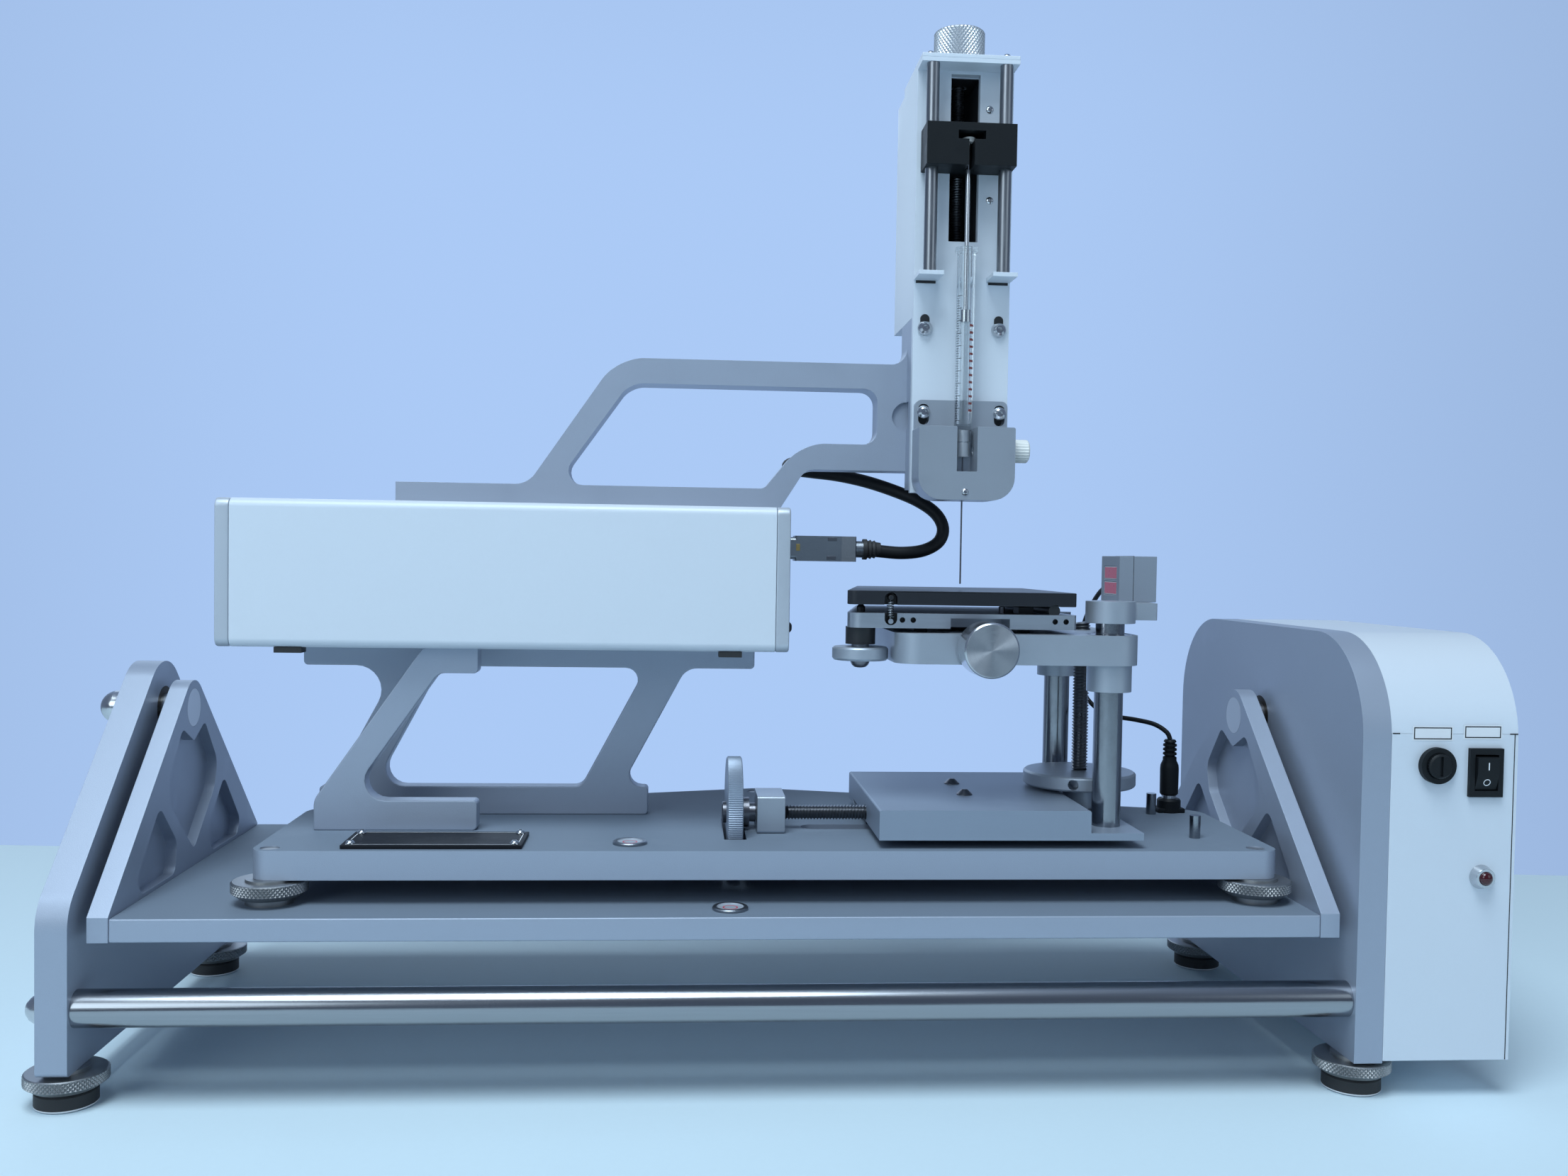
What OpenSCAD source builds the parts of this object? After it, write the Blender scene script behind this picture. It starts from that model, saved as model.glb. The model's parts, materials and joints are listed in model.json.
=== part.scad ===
// Contact angle goniometer: a tilting cradle between two end plates carries a camera, a syringe head
// and a sample stage. Millimetres, +X to the right, +Y away from the operator, +Z up.

/* [Tilt frame] */
// Distance between the outer faces of the end plates
frame_len = 561.2; // [540:1:640]
// Depth of the end plates, front to back
frame_depth = 212; // [206:1:230]
// Thickness of the end plates
plate_t = 12.7; // [10:0.1:16]
// Height of the end plates' lower edge above the bench
plate_z = 15.6; // [14:0.1:20]
// Height of the tilt axis above the bench
pivot_z = 154; // [150:1:170]
// Radius of the left plate's rounded crown
crown_r = 22; // [18:1:28]
// Height where the left plate starts to taper
shoulder_z = 83; // [60:1:90]
// Height of the right plate's arched top
arch_z = 200; // [195:1:220]
// Corner radius of the arch
arch_r = 45; // [30:1:60]
// Outer diameter of the tie tubes
tube_d = 15.6; // [12:0.1:18]
// Wall of the tie tubes
tube_wall = 2.5; // [1.5:0.1:4]
// Height of the tie tubes
tube_z = 41.2; // [34:0.1:46]
// Distance of the tie tubes from the plates' front and back edges
tube_inset = 9; // [8:0.1:12]

/* [Frame feet] */
// Diameter of the knurled wheels
foot_wheel_d = 33; // [26:0.5:36]
// Thickness of the knurled wheels
foot_wheel_t = 6.8; // [5:0.1:7.5]
// Diameter of the rubber pads
foot_pad_d = 24.7; // [18:0.1:28]
// Diameter of the threaded studs
stud_d = 8; // [6:0.5:9]
// Distance of the feet from the plates' front and back edges
foot_inset = 14.7; // [10:0.1:30]

/* [Drive cover] */
// Width of the cover, out from the right plate
cover_w = 56.6; // [54:0.1:70]
// Sheet thickness of the cover
cover_wall = 1.6; // [1:0.1:2.5]
// Height of the seam between hood and tray
seam_z = 158.5; // [154.5:0.5:160]
// Distance of the domed pivot cap's top from the left plate
pivot_cap_out = 16.5; // [10:0.1:20]

/* [Cradle] */
// Thickness of the cradle's floor plate
cradle_t = 9.9; // [6:0.1:14]
// Drop from the tilt axis to the top of the floor plate
cradle_drop = 75.4; // [70:0.1:80]
// Distance of the cradle from the plates' front and back edges
cradle_inset = 6; // [2:0.5:12]
// Thickness of the gussets
gusset_t = 8.5; // [7:0.1:12]
// Gap between a gusset and its end plate
gusset_gap = 5; // [3:0.1:8]
// Crown radius of the gussets
gusset_r = 13; // [11.5:0.5:16]
// Depth of the pockets in the gussets
pocket_depth = 5; // [2:0.1:6]

/* [Instrument base] */
// Gap between the left gusset and the base plate
base_gap_left = 49.4; // [30:0.1:56]
// Gap between the base plate and the right gusset
base_gap_right = 9.4; // [5:0.1:16]
// Thickness of the base plate
base_t = 12.7; // [10:0.1:16]
// Gap between cradle floor and base plate, where the base feet stand
base_lift = 10.9; // [9.5:0.1:13]
// Distance of the base plate's front edge from the end plates' front edges
base_front = 26; // [20:0.5:28]
// Length of the base plate's straight sides
base_side = 100; // [90:1:106]
// Rise of the pointed back edge
base_peak = 64; // [54:1:66]
// Diameter of the base feet's knurled wheels
base_wheel_d = 32; // [24:0.5:34]

/* [Camera housing] */
// Length of the housing with its end caps
housing_len = 255.6; // [240:1:257]
// Gap between the housing's right end and the table
housing_gap = 24.4; // [16:0.1:30]
// Depth of the housing
housing_d = 82; // [76:0.5:90]
// Height of the housing
housing_h = 66.3; // [60:0.1:72]
// Wall of the housing
housing_wall = 3; // [2:0.1:5]
// Thickness of the end caps
end_cap_t = 6.3; // [4:0.1:9]
// Gap between base plate and housing, filled by the brackets
housing_lift = 84.1; // [82:0.1:92]
// Thickness of the front and rear brackets
bracket_t = 10; // [6:0.1:12]
// Thickness of the upper arm
arm_t = 18; // [14:0.5:20]

/* [Syringe head] */
// Width of the face plate
head_w = 47.5; // [46:0.1:52]
// Thickness of the face plate
head_t = 4.5; // [3:0.1:5]
// Height of the face plate, clamp to top
head_h = 205.5; // [204:0.5:215]
// Diameter of the guide rods
rod_d = 6.2; // [5:0.1:7]
// Spacing of the guide rods
rod_gap = 35.8; // [34:0.1:37]
// Height of the pusher block
pusher_h = 20; // [18:0.1:24]
// Outer diameter of the syringe barrel
barrel_d = 8.8; // [7:0.1:9.2]
// Length of the syringe barrel
barrel_len = 87.8; // [80:0.1:90]
// Diameter of the needle
needle_d = 0.8; // [0.6:0.1:1.4]
// Free length of the needle below the clamp block
needle_len = 40.3; // [38:0.1:42]
// Depth of the clamp block, front to back
clamp_d = 20.5; // [18:0.1:24]
// Diameter of the knurled knob on the syringe drive
drive_knob_d = 25.5; // [20:0.1:28]

/* [Stage] */
// Width of the carriage
carriage_w = 95; // [90:1:97]
// Depth of the carriage
carriage_d = 110; // [106:1:112]
// Thickness of the carriage
carriage_t = 13.3; // [12:0.1:15]
// Gap between base plate and carriage, where the slide rail shows
rail_gap = 3.8; // [3:0.1:5]
// Radius of the X handwheel
x_wheel_r = 26; // [22:0.5:27]
// Diameter of the X lead screw
x_screw_d = 7; // [5:0.1:7.4]
// Radius of the lift's disc handwheel
disc_r = 27; // [22:0.5:28]
// Diameter of the lift posts
post_d = 13; // [10:0.1:14]
// Distance between the lift posts
post_gap = 87; // [82:0.5:90]
// Clear height from carriage top to stage arm
stage_lift = 64; // [58:0.5:65]
// Thickness of the stage arm
stage_arm_t = 13.6; // [12:0.1:15]
// Width of the table plates
table_w = 105; // [100:1:108]
// Depth of the table plates
table_d = 102; // [98:1:106]
// Thickness of the lower table plate
lower_t = 6.7; // [6:0.1:8]
// Thickness of the top table plate
top_t = 6.3; // [5:0.1:8]
// Gap between the table plates
tilt_gap = 3.7; // [3.2:0.1:4.5]
// Radius of the Y knob
y_knob_r = 12.2; // [9:0.1:12.6]
// Diameter of the levelling thumbwheel
level_wheel_d = 25.6; // [20:0.1:27]
// Diameter of the lamp lead
lamp_lead_d = 2.4; // [1.6:0.1:2.8]
// Diameter of the syringe drive lead
drive_lead_d = 6.4; // [5:0.1:6.8]

/* [Hidden] */
$fn = 64;

// Clearances: running fit on a radius, sliding gap between flat faces, free gap between curved faces
fit = 0.05;
slip = 0.1;
free = 0.3;
// Overlap that makes a cut run clear through a face
through = 1;

// The drawing datum is the middle of the frame at the end plates' front edges, on the bench
fuse_out = 5;
foot_back_out = foot_wheel_d / 2 - foot_inset;
left_out = max(pivot_cap_out, (foot_wheel_d - plate_t) / 2);
frame_x = (left_out - cover_w) / 2;
frame_y = -(frame_depth + foot_back_out - fuse_out) / 2;

// Tilt frame
plate_in = frame_len / 2 - plate_t;
plate_out = frame_len / 2;
plate_mid = frame_len / 2 - plate_t / 2;
pivot_y = frame_depth / 2;
bush_d = 20;
pivot_d = 14;
pivot_disc_d = 18.2;
pivot_disc_t = 4;
tube_ys = [tube_inset, frame_depth - tube_inset];
foot_ys = [foot_inset, frame_depth - foot_inset];
tube_bolt_d = 6;
foot_pad_h = plate_z - foot_wheel_t - 1.8;
stud_up = 18;
stud_seat = 3;

// Cradle
gusset_out = plate_in - gusset_gap;
gusset_in = gusset_out - gusset_t;
cradle_top = pivot_z - cradle_drop;
cradle_z = cradle_top - cradle_t;
cradle_back = frame_depth - cradle_inset;

// Instrument base, between the gussets
base_z = cradle_top + base_lift;
base_top = base_z + base_t;
base_left = -gusset_in + base_gap_left;
base_right = gusset_in - base_gap_right;
base_x = (base_left + base_right) / 2;
base_side_y = base_front + base_side;
base_foot_in = 7;
foot_shift = 2;
rear_foot_in = 10;
base_feet = [
    [base_left + base_foot_in, base_front + base_foot_in],
    [base_right - base_foot_in - foot_shift, base_front + base_foot_in],
    [base_x - foot_shift, base_side_y + base_peak - rear_foot_in]
];

// Places along X, counted back from the base plate's right end
post_in = 73;
post_x = base_right - post_in;
table_in = 17;
table_right = post_x - table_in;
table_left = table_right - table_w;
needle_in = 60.5;
needle_x = post_x - needle_in;

// Camera housing; the optical axis passes through the needle
axis_y = 95;
housing_right = table_left - housing_gap;
housing_left = housing_right - housing_len;
housing_z = base_top + housing_lift;
housing_top = housing_z + housing_h;
housing_behind = 45;
housing_back = axis_y + housing_behind;
housing_front = housing_back - housing_d;
axis_z = housing_z + housing_h / 2;
housing_r = 4;
front_bracket_y = 70;
rear_frame_y = 110;
bar_h = 11.8;
foot_bar_h = 13.8;

// Syringe head
head_left = needle_x - head_w / 2;
head_right = needle_x + head_w / 2;
head_behind = 9.5;
head_front = axis_y + head_behind;
head_back = head_front + head_t;
arm_step = 1;
arm_front = housing_back - arm_step - arm_t;

// Stage levels, stacked up from the base plate
carriage_z = base_top + rail_gap;
carriage_top = carriage_z + carriage_t;
carriage_front = 30;
carriage_in = 12.5;
carriage_right = post_x - carriage_in;
carriage_left = carriage_right - carriage_w;
tab_t = 3.3;
tab_out = 11.5;
tab_right = post_x + tab_out;
tab_top = carriage_z + tab_t;
x_screw_y = 76;
x_screw_rise = 4;
x_screw_z = carriage_z + x_screw_rise;
x_wheel_out = 65.9;
x_wheel_x = carriage_left - x_wheel_out;
x_wheel_t = 7;
bearing_out = 52;
bearing_x = carriage_left - bearing_out;
bearing_w = 13;
lift_before = 2;
z_screw_y = axis_y - lift_before;
post_ys = [z_screw_y - post_gap / 2, z_screw_y + post_gap / 2];
z_screw_d = 8;
disc_t = 7;
disc_rise = 1.7;
disc_z = carriage_top + disc_rise;
arm_z = carriage_top + stage_lift;
arm_top = arm_z + stage_arm_t;
arm_reach = 100;
arm_left = post_x - arm_reach;
arm_out = 12;
arm_right = post_x + arm_out;
bushing_d = 20.4;
bushing_drop = 12.3;
table_gap = 2;
lower_z = arm_top + table_gap;
lower_top = lower_z + lower_t;
top_z = lower_top + tilt_gap;
table_z = top_z + top_t;
table_slant = 17.5;
table_front = axis_y - table_d / 2;
table_back = axis_y + table_d / 2;
tilt_in = 10;
tilt_x = table_right - tilt_in;
tilt_z = lower_top + tilt_gap / 2;
tilt_rod_sink = 0.8;
tilt_rod_d = tilt_gap + 2 * tilt_rod_sink;
y_screw_in = 61.4;
y_screw_x = post_x - y_screw_in;
y_screw_rise = 7.5;
y_screw_z = arm_z + y_screw_rise;
y_screw_d = 6;
y_travel = 10;
arm_before = 58;
arm_face = axis_y - arm_before;
arm_behind = 54;
arm_rear = axis_y + arm_behind;
level_in = 8.2;
level_x = table_left + level_in;
level_back = 14;
level_y = table_front + level_back;
level_d = 4;
level_travel = 2.4;
spring_in = 20;
spring_x = table_left + spring_in;

// Syringe head levels, stacked up from the table
tip_gap = 2.7;
needle_tip = table_z + tip_gap;
clamp_z = needle_tip + needle_len;
clamp_h = 35;
clamp_step = clamp_z + clamp_h;
shelf_h = 14;
clamp_top = clamp_step + shelf_h;
hub_sunk = 13.8;
hub_z = clamp_step - hub_sunk;
hub_d = 6.3;
barrel_sunk = 1;
barrel_z = clamp_step - barrel_sunk;
barrel_top = barrel_z + barrel_len;
barrel_bore = 4.6;
head_rise = 4;
head_z = clamp_z + head_rise;
head_top = head_z + head_h;
cap_plate_t = 2;
cap_out = 3.2;
rod_len = 99.8;
tab_z = head_top - rod_len;
tab_h = 2;
slot_drop = 82.5;
slot_z = head_top - slot_drop;
slot_w = 14.4;
slot_h = 81;
screw_behind = 14;
screw_y = head_back + screw_behind;
drive_screw_d = 6;
pusher_drop = 50;
pusher_z = head_top - pusher_drop;
pusher_w = 43.4;
pusher_before = 8.5;
pusher_front = axis_y - pusher_before;
pusher_gap = 1;
pusher_back = head_front - pusher_gap;
motor_cover_h = 119.5;
motor_cover_z = head_top - motor_cover_h;
motor_cover_d = 56;
motor_cover_back = head_back + motor_cover_d;
motor_w = 27;
motor_h = 34;
drive_knob_h = 21;
plunger_d = 2.2;
button_rise = 13.2;
button_z = pusher_z + button_rise;
plunger_rise = 52;
plunger_tip_z = barrel_z + plunger_rise;
gland_in = 5.5;
gland_x = needle_x - gland_in;
gland_behind = 41;
gland_y = head_back + gland_behind;

// Backlight
lamp_w = 18.4;
lamp_d = 28;
lamp_h = 22;
lamp_out = 14;
lamp_x = post_x + lamp_out;
lamp_nose = 5.7;
boss_d = 22.5;
boss_h = 10;
boss_rise = 5.3;
boss_z = arm_top + boss_rise;
lamp_plate_rise = 0.8;
lamp_plate_z = boss_z + lamp_plate_rise;
lamp_plate_t = 8;
lamp_z = lamp_plate_z + lamp_plate_t;
lamp_window = [19, 6.6];
socket_in = 17;
socket_x = base_right - socket_in;
socket_y = 122;
socket_h = 8.7;
socket_top = base_top + socket_h;
plug_h = 28.5;
plug_top = socket_top + plug_h;

// Route of the lamp lead, from the back of the lamp box down to the plug
lamp_route = [
    [190, 109.2, 217], [190, 115, 217], [190, 124, 214.5], [189.5, 135, 208], [189, 146, 198.5],
    [189, 153, 187], [189.5, 157, 174], [191.5, 157, 162], [197, 151.5, 153], [205, 143, 149],
    [214, 134, 148], [221.5, 127.5, 146.5], [226.5, 123.2, 143], [228, 122, 139.4]
];
// Route of the syringe drive lead, from the hooded plug round behind the arm into the motor cover
drive_route = [
    [68, 125, 234.5], [77, 125, 233.6], [88, 125.5, 233], [99, 127, 234.5], [107, 129, 239],
    [109.5, 131, 246], [106, 133.5, 253.5], [97, 136.5, 260], [84, 140, 265.5], [70, 144, 270],
    [56, 148, 273], [44, 152, 274.5], [35, 157.5, 276], [32, 165, 278.5], [37, 172.5, 281],
    [48, 175.5, 282.5], [62, 175, 284], [75, 173, 288], [86, 170, 296], [94, 166, 307.5],
    [100, 161, 320], [104, 155.5, 332], [106, 151.5, 341], [gland_x, gland_y, 349]
];

// Corner of an outline turned into an arc, and an outline with all its corners turned
function corner_arc(a, b, c, r) =
    r <= 0 ? [b] :
    let (
        steps = 4 + ceil(r / 3),
        u = (a - b) / norm(a - b),
        v = (c - b) / norm(c - b),
        half = acos(u * v) / 2,
        centre = b + (u + v) / norm(u + v) * r / sin(half),
        p = b + u * r / tan(half) - centre,
        q = b + v * r / tan(half) - centre,
        start = atan2(p[1], p[0]),
        turn = (atan2(q[1], q[0]) - start + 540) % 360 - 180
    )
    [for (i = [0:steps]) centre + r * [cos(start + turn * i / steps), sin(start + turn * i / steps)]];
function rounded(points, radii) =
    let (n = len(points))
    [for (i = [0:n - 1]) each corner_arc(points[(i + n - 1) % n], points[i], points[(i + 1) % n], radii[i])];
function box_outline(low, high, r) =
    rounded([low, [high[0], low[1]], high, [low[0], high[1]]], [r, r, r, r]);

// Point where a line from p touches a circle
function tangent(p, centre, r, side) =
    let (
        d = p - centre,
        a = atan2(d[1], d[0]) + side * acos(r / norm(d))
    )
    centre + r * [cos(a), sin(a)];

// Smooth curve through a route, and the tube swept along it
function curve_point(a, b, c, d, t) =
    0.5 * (2 * b + (c - a) * t + (2 * a - 5 * b + 4 * c - d) * t * t + (3 * b - a - 3 * c + d) * t * t * t);
function curve(route, parts) =
    let (n = len(route))
    [
        for (i = [0:n - 2], k = [0:parts - 1])
            curve_point(route[max(i - 1, 0)], route[i], route[i + 1], route[min(i + 2, n - 1)], k / parts),
        route[n - 1]
    ];
function unit(v) = v / norm(v);
function heading(path, i) = unit(path[min(i + 1, len(path) - 1)] - path[max(i - 1, 0)]);
function route_length(path) =
    len(path) < 2 ? 0 : [for (i = 1, s = norm(path[1] - path[0]); i < len(path);
        i = i + 1, s = i < len(path) ? s + norm(path[i] - path[i - 1]) : s) s][len(path) - 2];

// Side direction carried along the path without twist
function side_ways(path) =
    let (first = unit(cross(heading(path, 0), [0.31, 0.87, 0.38])))
    [for (i = 0, s = first; i < len(path);
        i = i + 1,
        s = i < len(path) ? unit(s - heading(path, i) * (heading(path, i) * s)) : s) s];

module tube_along(path, d, sides) {
    side = side_ways(path);
    rings = len(path);
    points = [
        for (i = [0:rings - 1], k = [0:sides - 1])
            path[i] + d / 2 * (cos(360 * k / sides) * side[i]
                + sin(360 * k / sides) * cross(heading(path, i), side[i])),
        path[0],
        path[rings - 1]
    ];
    last = rings * sides;
    faces = [
        for (i = [0:rings - 2], k = [0:sides - 1], half = [0, 1])
            let (a = i * sides + k, b = i * sides + (k + 1) % sides)
            half == 0 ? [a, a + sides, b] : [b, a + sides, b + sides],
        for (k = [0:sides - 1]) [last, k, (k + 1) % sides],
        for (k = [0:sides - 1]) [last + 1, last - sides + (k + 1) % sides, last - sides + k]
    ];
    polyhedron(points, faces);
}

// Everything is drawn from the datum and moved so that the origin lies under the middle of the object
module in_frame() {
    translate([frame_x, frame_y, 0]) children();
}
module slab_xy(z, t) {
    translate([0, 0, z]) linear_extrude(t) children();
}
module slab_xz(y, t) {
    translate([0, y + t, 0]) rotate([90, 0, 0]) linear_extrude(t) children();
}
module slab_yz(x, t) {
    translate([x, 0, 0]) rotate([90, 0, 90]) linear_extrude(t) children();
}
module rod_x(at, d, l) {
    translate(at) rotate([0, 90, 0]) cylinder(d = d, h = l);
}
module rod_y(at, d, l) {
    translate(at) rotate([-90, 0, 0]) cylinder(d = d, h = l);
}
module rod_z(at, d, l) {
    translate(at) cylinder(d = d, h = l);
}
module block(low, high) {
    translate(low) cube(high - low);
}
// Wheel with bevelled rims, on the Z axis
module bevelled_disc(r, t, bevel) {
    rotate_extrude()
        polygon([[0, 0], [r - bevel, 0], [r, bevel], [r, t - bevel], [r - bevel, t], [0, t]]);
}
// Domed cap on the Z axis
module dome(d, h) {
    ball = (d * d / 4 + h * h) / (2 * h);
    rotate_extrude() intersection() {
        translate([0, h - ball]) circle(ball);
        square([d, h]);
    }
}

// Profiles that the plates and the cover share
module left_profile() {
    crown = [pivot_y, pivot_z];
    front = [0, shoulder_z];
    back = [frame_depth, shoulder_z];
    polygon(rounded(
        [[0, plate_z], [frame_depth, plate_z], back, tangent(back, crown, crown_r, 1),
            tangent(front, crown, crown_r, -1), front],
        [2, 2, 20, 0, 0, 20]));
    translate(crown) circle(crown_r);
}
module arch_profile(bottom, inset) {
    polygon(rounded(
        [[inset, bottom], [frame_depth - inset, bottom], [frame_depth - inset, arch_z - inset],
            [inset, arch_z - inset]],
        [0, 0, arch_r - inset, arch_r - inset]));
}
module end_plate_holes(x) {
    rod_x([x - through, pivot_y, pivot_z], bush_d + 2 * fit, plate_t + 2 * through);
    for (y = tube_ys) rod_x([x - through, y, tube_z], tube_bolt_d, plate_t + 2 * through);
    for (y = foot_ys)
        rod_z([x + plate_t / 2, y, plate_z - through], stud_d + 2 * fit, stud_up + 2 * through);
}

module left_plate() {
    color("lightsteelblue") in_frame() difference() {
        slab_yz(-plate_out, plate_t) left_profile();
        end_plate_holes(-plate_out);
    }
}
module right_plate() {
    color("lightsteelblue") in_frame() difference() {
        slab_yz(plate_in, plate_t) arch_profile(plate_z, 0);
        end_plate_holes(plate_in);
    }
}
module tie_tubes() {
    color("silver") in_frame() for (y = tube_ys) difference() {
        rod_x([-plate_in, y, tube_z], tube_d, 2 * plate_in);
        rod_x([-plate_in - through, y, tube_z], tube_d - 2 * tube_wall, 2 * plate_in + 2 * through);
    }
}
// The cover ends a little above the plates' lower edge
tray_gap = 1;
module cover_hood() {
    side_x = plate_out + cover_w - cover_wall;
    color("white") in_frame() difference() {
        slab_yz(plate_out, cover_w) arch_profile(plate_z + tray_gap, 0);
        slab_yz(plate_out - through, cover_w - cover_wall + through)
            arch_profile(plate_z - through, cover_wall);
        block([plate_out - through, -through, 0], [side_x, frame_depth + through, seam_z]);
    }
}

// Front panel: places of the fuse, the switch and the indicator
fuse_at = [plate_out + 19.8, 145];
switch_at = [plate_out + 41.7, 142];
lamp_at = [plate_out + 41.6, 96.7];
fuse_d = 12.2;
fuse_flange_d = 15.6;
fuse_cap_d = 11;
switch_size = [15, 21];
switch_body = [12.8, 18.8];
switch_window = [10.4, 15.6];
rocker_w = 9.6;
rocker_pin_d = 2;
indicator_d = 8;
panel_bezel = 2;

module cover_tray() {
    x0 = plate_out + slip;
    x1 = plate_out + cover_w - cover_wall - slip;
    floor_z = plate_z + tray_gap;
    color("white") in_frame() difference() {
        union() {
            block([x0, 0, floor_z], [x1, cover_wall, seam_z - slip]);
            block([x0, frame_depth - cover_wall, floor_z], [x1, frame_depth, seam_z - slip]);
            block([x0, 0, floor_z], [x1, frame_depth, floor_z + cover_wall]);
        }
        rod_y([fuse_at[0], -through, fuse_at[1]], fuse_d + 2 * fit, cover_wall + 2 * through);
        rod_y([lamp_at[0], -through, lamp_at[1]], indicator_d + 2 * fit, cover_wall + 2 * through);
        translate([switch_at[0], 0, switch_at[1]])
            cube([switch_body[0] + 2 * slip, 2 * cover_wall + 2 * through, switch_body[1] + 2 * slip],
                center = true);
    }
}
fuse_len = 32;
fuse_flange_t = 3;
fuse_bore = 20;
switch_len = 14;
switch_deep = 8;
indicator_len = 18;
indicator_t = 4;
indicator_rim = [8.4, 10.6];
lens_seat = [6, 3];
module panel_fittings() {
    color("dimgray") in_frame() {
        // Fuse holder with a bore for its cap
        difference() {
            union() {
                rod_y([fuse_at[0], -fuse_flange_t, fuse_at[1]], fuse_flange_d, fuse_flange_t);
                rod_y([fuse_at[0], -1, fuse_at[1]], fuse_d, fuse_len);
            }
            rod_y([fuse_at[0], -fuse_flange_t - through, fuse_at[1]], fuse_cap_d + 2 * fit, fuse_bore);
        }
        // Switch case with a window and pin holes for the rocker
        difference() {
            union() {
                translate([switch_at[0] - switch_size[0] / 2, -panel_bezel,
                    switch_at[1] - switch_size[1] / 2])
                    cube([switch_size[0], panel_bezel, switch_size[1]]);
                translate([switch_at[0] - switch_body[0] / 2, -panel_bezel / 2,
                    switch_at[1] - switch_body[1] / 2])
                    cube([switch_body[0], switch_len, switch_body[1]]);
            }
            translate([switch_at[0], 0, switch_at[1]])
                cube([switch_window[0], switch_deep, switch_window[1]], center = true);
            rod_x([switch_at[0] - switch_window[0] / 2 - 1, 0, switch_at[1]],
                rocker_pin_d + 2 * fit, switch_window[0] + 2);
        }
        // Indicator bezel with a lens seat
        difference() {
            union() {
                translate([lamp_at[0], -indicator_t, lamp_at[1]]) rotate([-90, 0, 0])
                    cylinder(d1 = indicator_rim[0], d2 = indicator_rim[1], h = indicator_t);
                rod_y([lamp_at[0], -1, lamp_at[1]], indicator_d, indicator_len);
            }
            rod_y([lamp_at[0], -indicator_t - through, lamp_at[1]], lens_seat[0], lens_seat[1] + through);
        }
    }
}
module fuse_cap() {
    slot = [1.4, 2, 8];
    color("dimgray") in_frame() difference() {
        rod_y([fuse_at[0], -fuse_out, fuse_at[1]], fuse_cap_d, fuse_bore);
        translate([fuse_at[0], -fuse_out, fuse_at[1]]) cube(slot, center = true);
    }
}
module switch_rocker() {
    press = 10;
    color("dimgray") in_frame() translate([switch_at[0], 0, switch_at[1]]) rotate([press, 0, 0]) {
        slab_yz(-rocker_w / 2, rocker_w)
            polygon([[-3.4, 0], [-2.3, 7.2], [2, 7], [2, -7], [-2.3, -7.2]]);
        rod_x([-switch_window[0] / 2 - 0.8, 0, 0], rocker_pin_d, switch_window[0] + 1.6);
    }
}
// Right-angle gear motor that stands off the right plate round the drive shaft
gearbox_x = plate_out + 12;
gearbox_t = 24;
gearbox_r = 25;
module tilt_gearmotor() {
    can_d = 22;
    can_len = 62;
    post_r = 19;
    bore_len = 18;
    color("gray") in_frame() {
        difference() {
            slab_yz(gearbox_x, gearbox_t) polygon(box_outline(
                [pivot_y - gearbox_r, pivot_z - gearbox_r], [pivot_y + gearbox_r, pivot_z + gearbox_r], 6));
            rod_x([gearbox_x - through, pivot_y, pivot_z], pivot_d + 2 * fit, bore_len + through);
        }
        rod_z([gearbox_x + gearbox_t / 2, pivot_y, pivot_z - gearbox_r - can_len], can_d, can_len + through);
        for (a = [30, 150, 270])
            rod_x([plate_out, pivot_y + post_r * cos(a), pivot_z + post_r * sin(a)], 8,
                gearbox_x - plate_out + through);
    }
}
supply_gap = 5;
supply_y = 60;
supply_w = 40;
supply_d = 100;
supply_h = 36;
fin_pitch = 12;
fin_gap = 6;
fin_h = 4;
module power_supply() {
    low = [plate_out + supply_gap, supply_y, plate_z + tray_gap + cover_wall];
    color("gray") in_frame() difference() {
        block(low, low + [supply_w, supply_d, supply_h]);
        for (i = [1:7])
            translate(low + [-through, i * fin_pitch, supply_h - fin_h])
                cube([supply_w + 2 * through, fin_gap, fin_h + through]);
    }
}
module pivot_bushes() {
    color("goldenrod") in_frame() for (x = [-plate_out, plate_in]) difference() {
        rod_x([x, pivot_y, pivot_z], bush_d, plate_t);
        rod_x([x - through, pivot_y, pivot_z], pivot_d + 2 * fit, plate_t + 2 * through);
    }
}

module foot_pads() {
    color("dimgray") in_frame() for (x = [-plate_mid, plate_mid], y = foot_ys)
        translate([x, y, 0]) difference() {
            bevelled_disc(foot_pad_d / 2, foot_pad_h, 1);
            translate([0, 0, stud_seat]) cylinder(d = stud_d + 2 * fit, h = foot_pad_h);
        }
}
module foot_wheel(x, y) {
    wheel_z = foot_pad_h + free;
    color("silver") in_frame() translate([x, y, 0]) {
        translate([0, 0, wheel_z]) bevelled_disc(foot_wheel_d / 2, foot_wheel_t, 0.8);
        translate([0, 0, wheel_z]) cylinder(d = 18, h = plate_z - wheel_z);
        translate([0, 0, stud_seat + slip]) cylinder(d = stud_d, h = plate_z + stud_up - stud_seat);
    }
}
module foot_wheel_front_left() {
    foot_wheel(-plate_mid, foot_ys[0]);
}
module foot_wheel_front_right() {
    foot_wheel(plate_mid, foot_ys[0]);
}
module foot_wheel_rear_left() {
    foot_wheel(-plate_mid, foot_ys[1]);
}
module foot_wheel_rear_right() {
    foot_wheel(plate_mid, foot_ys[1]);
}

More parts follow.
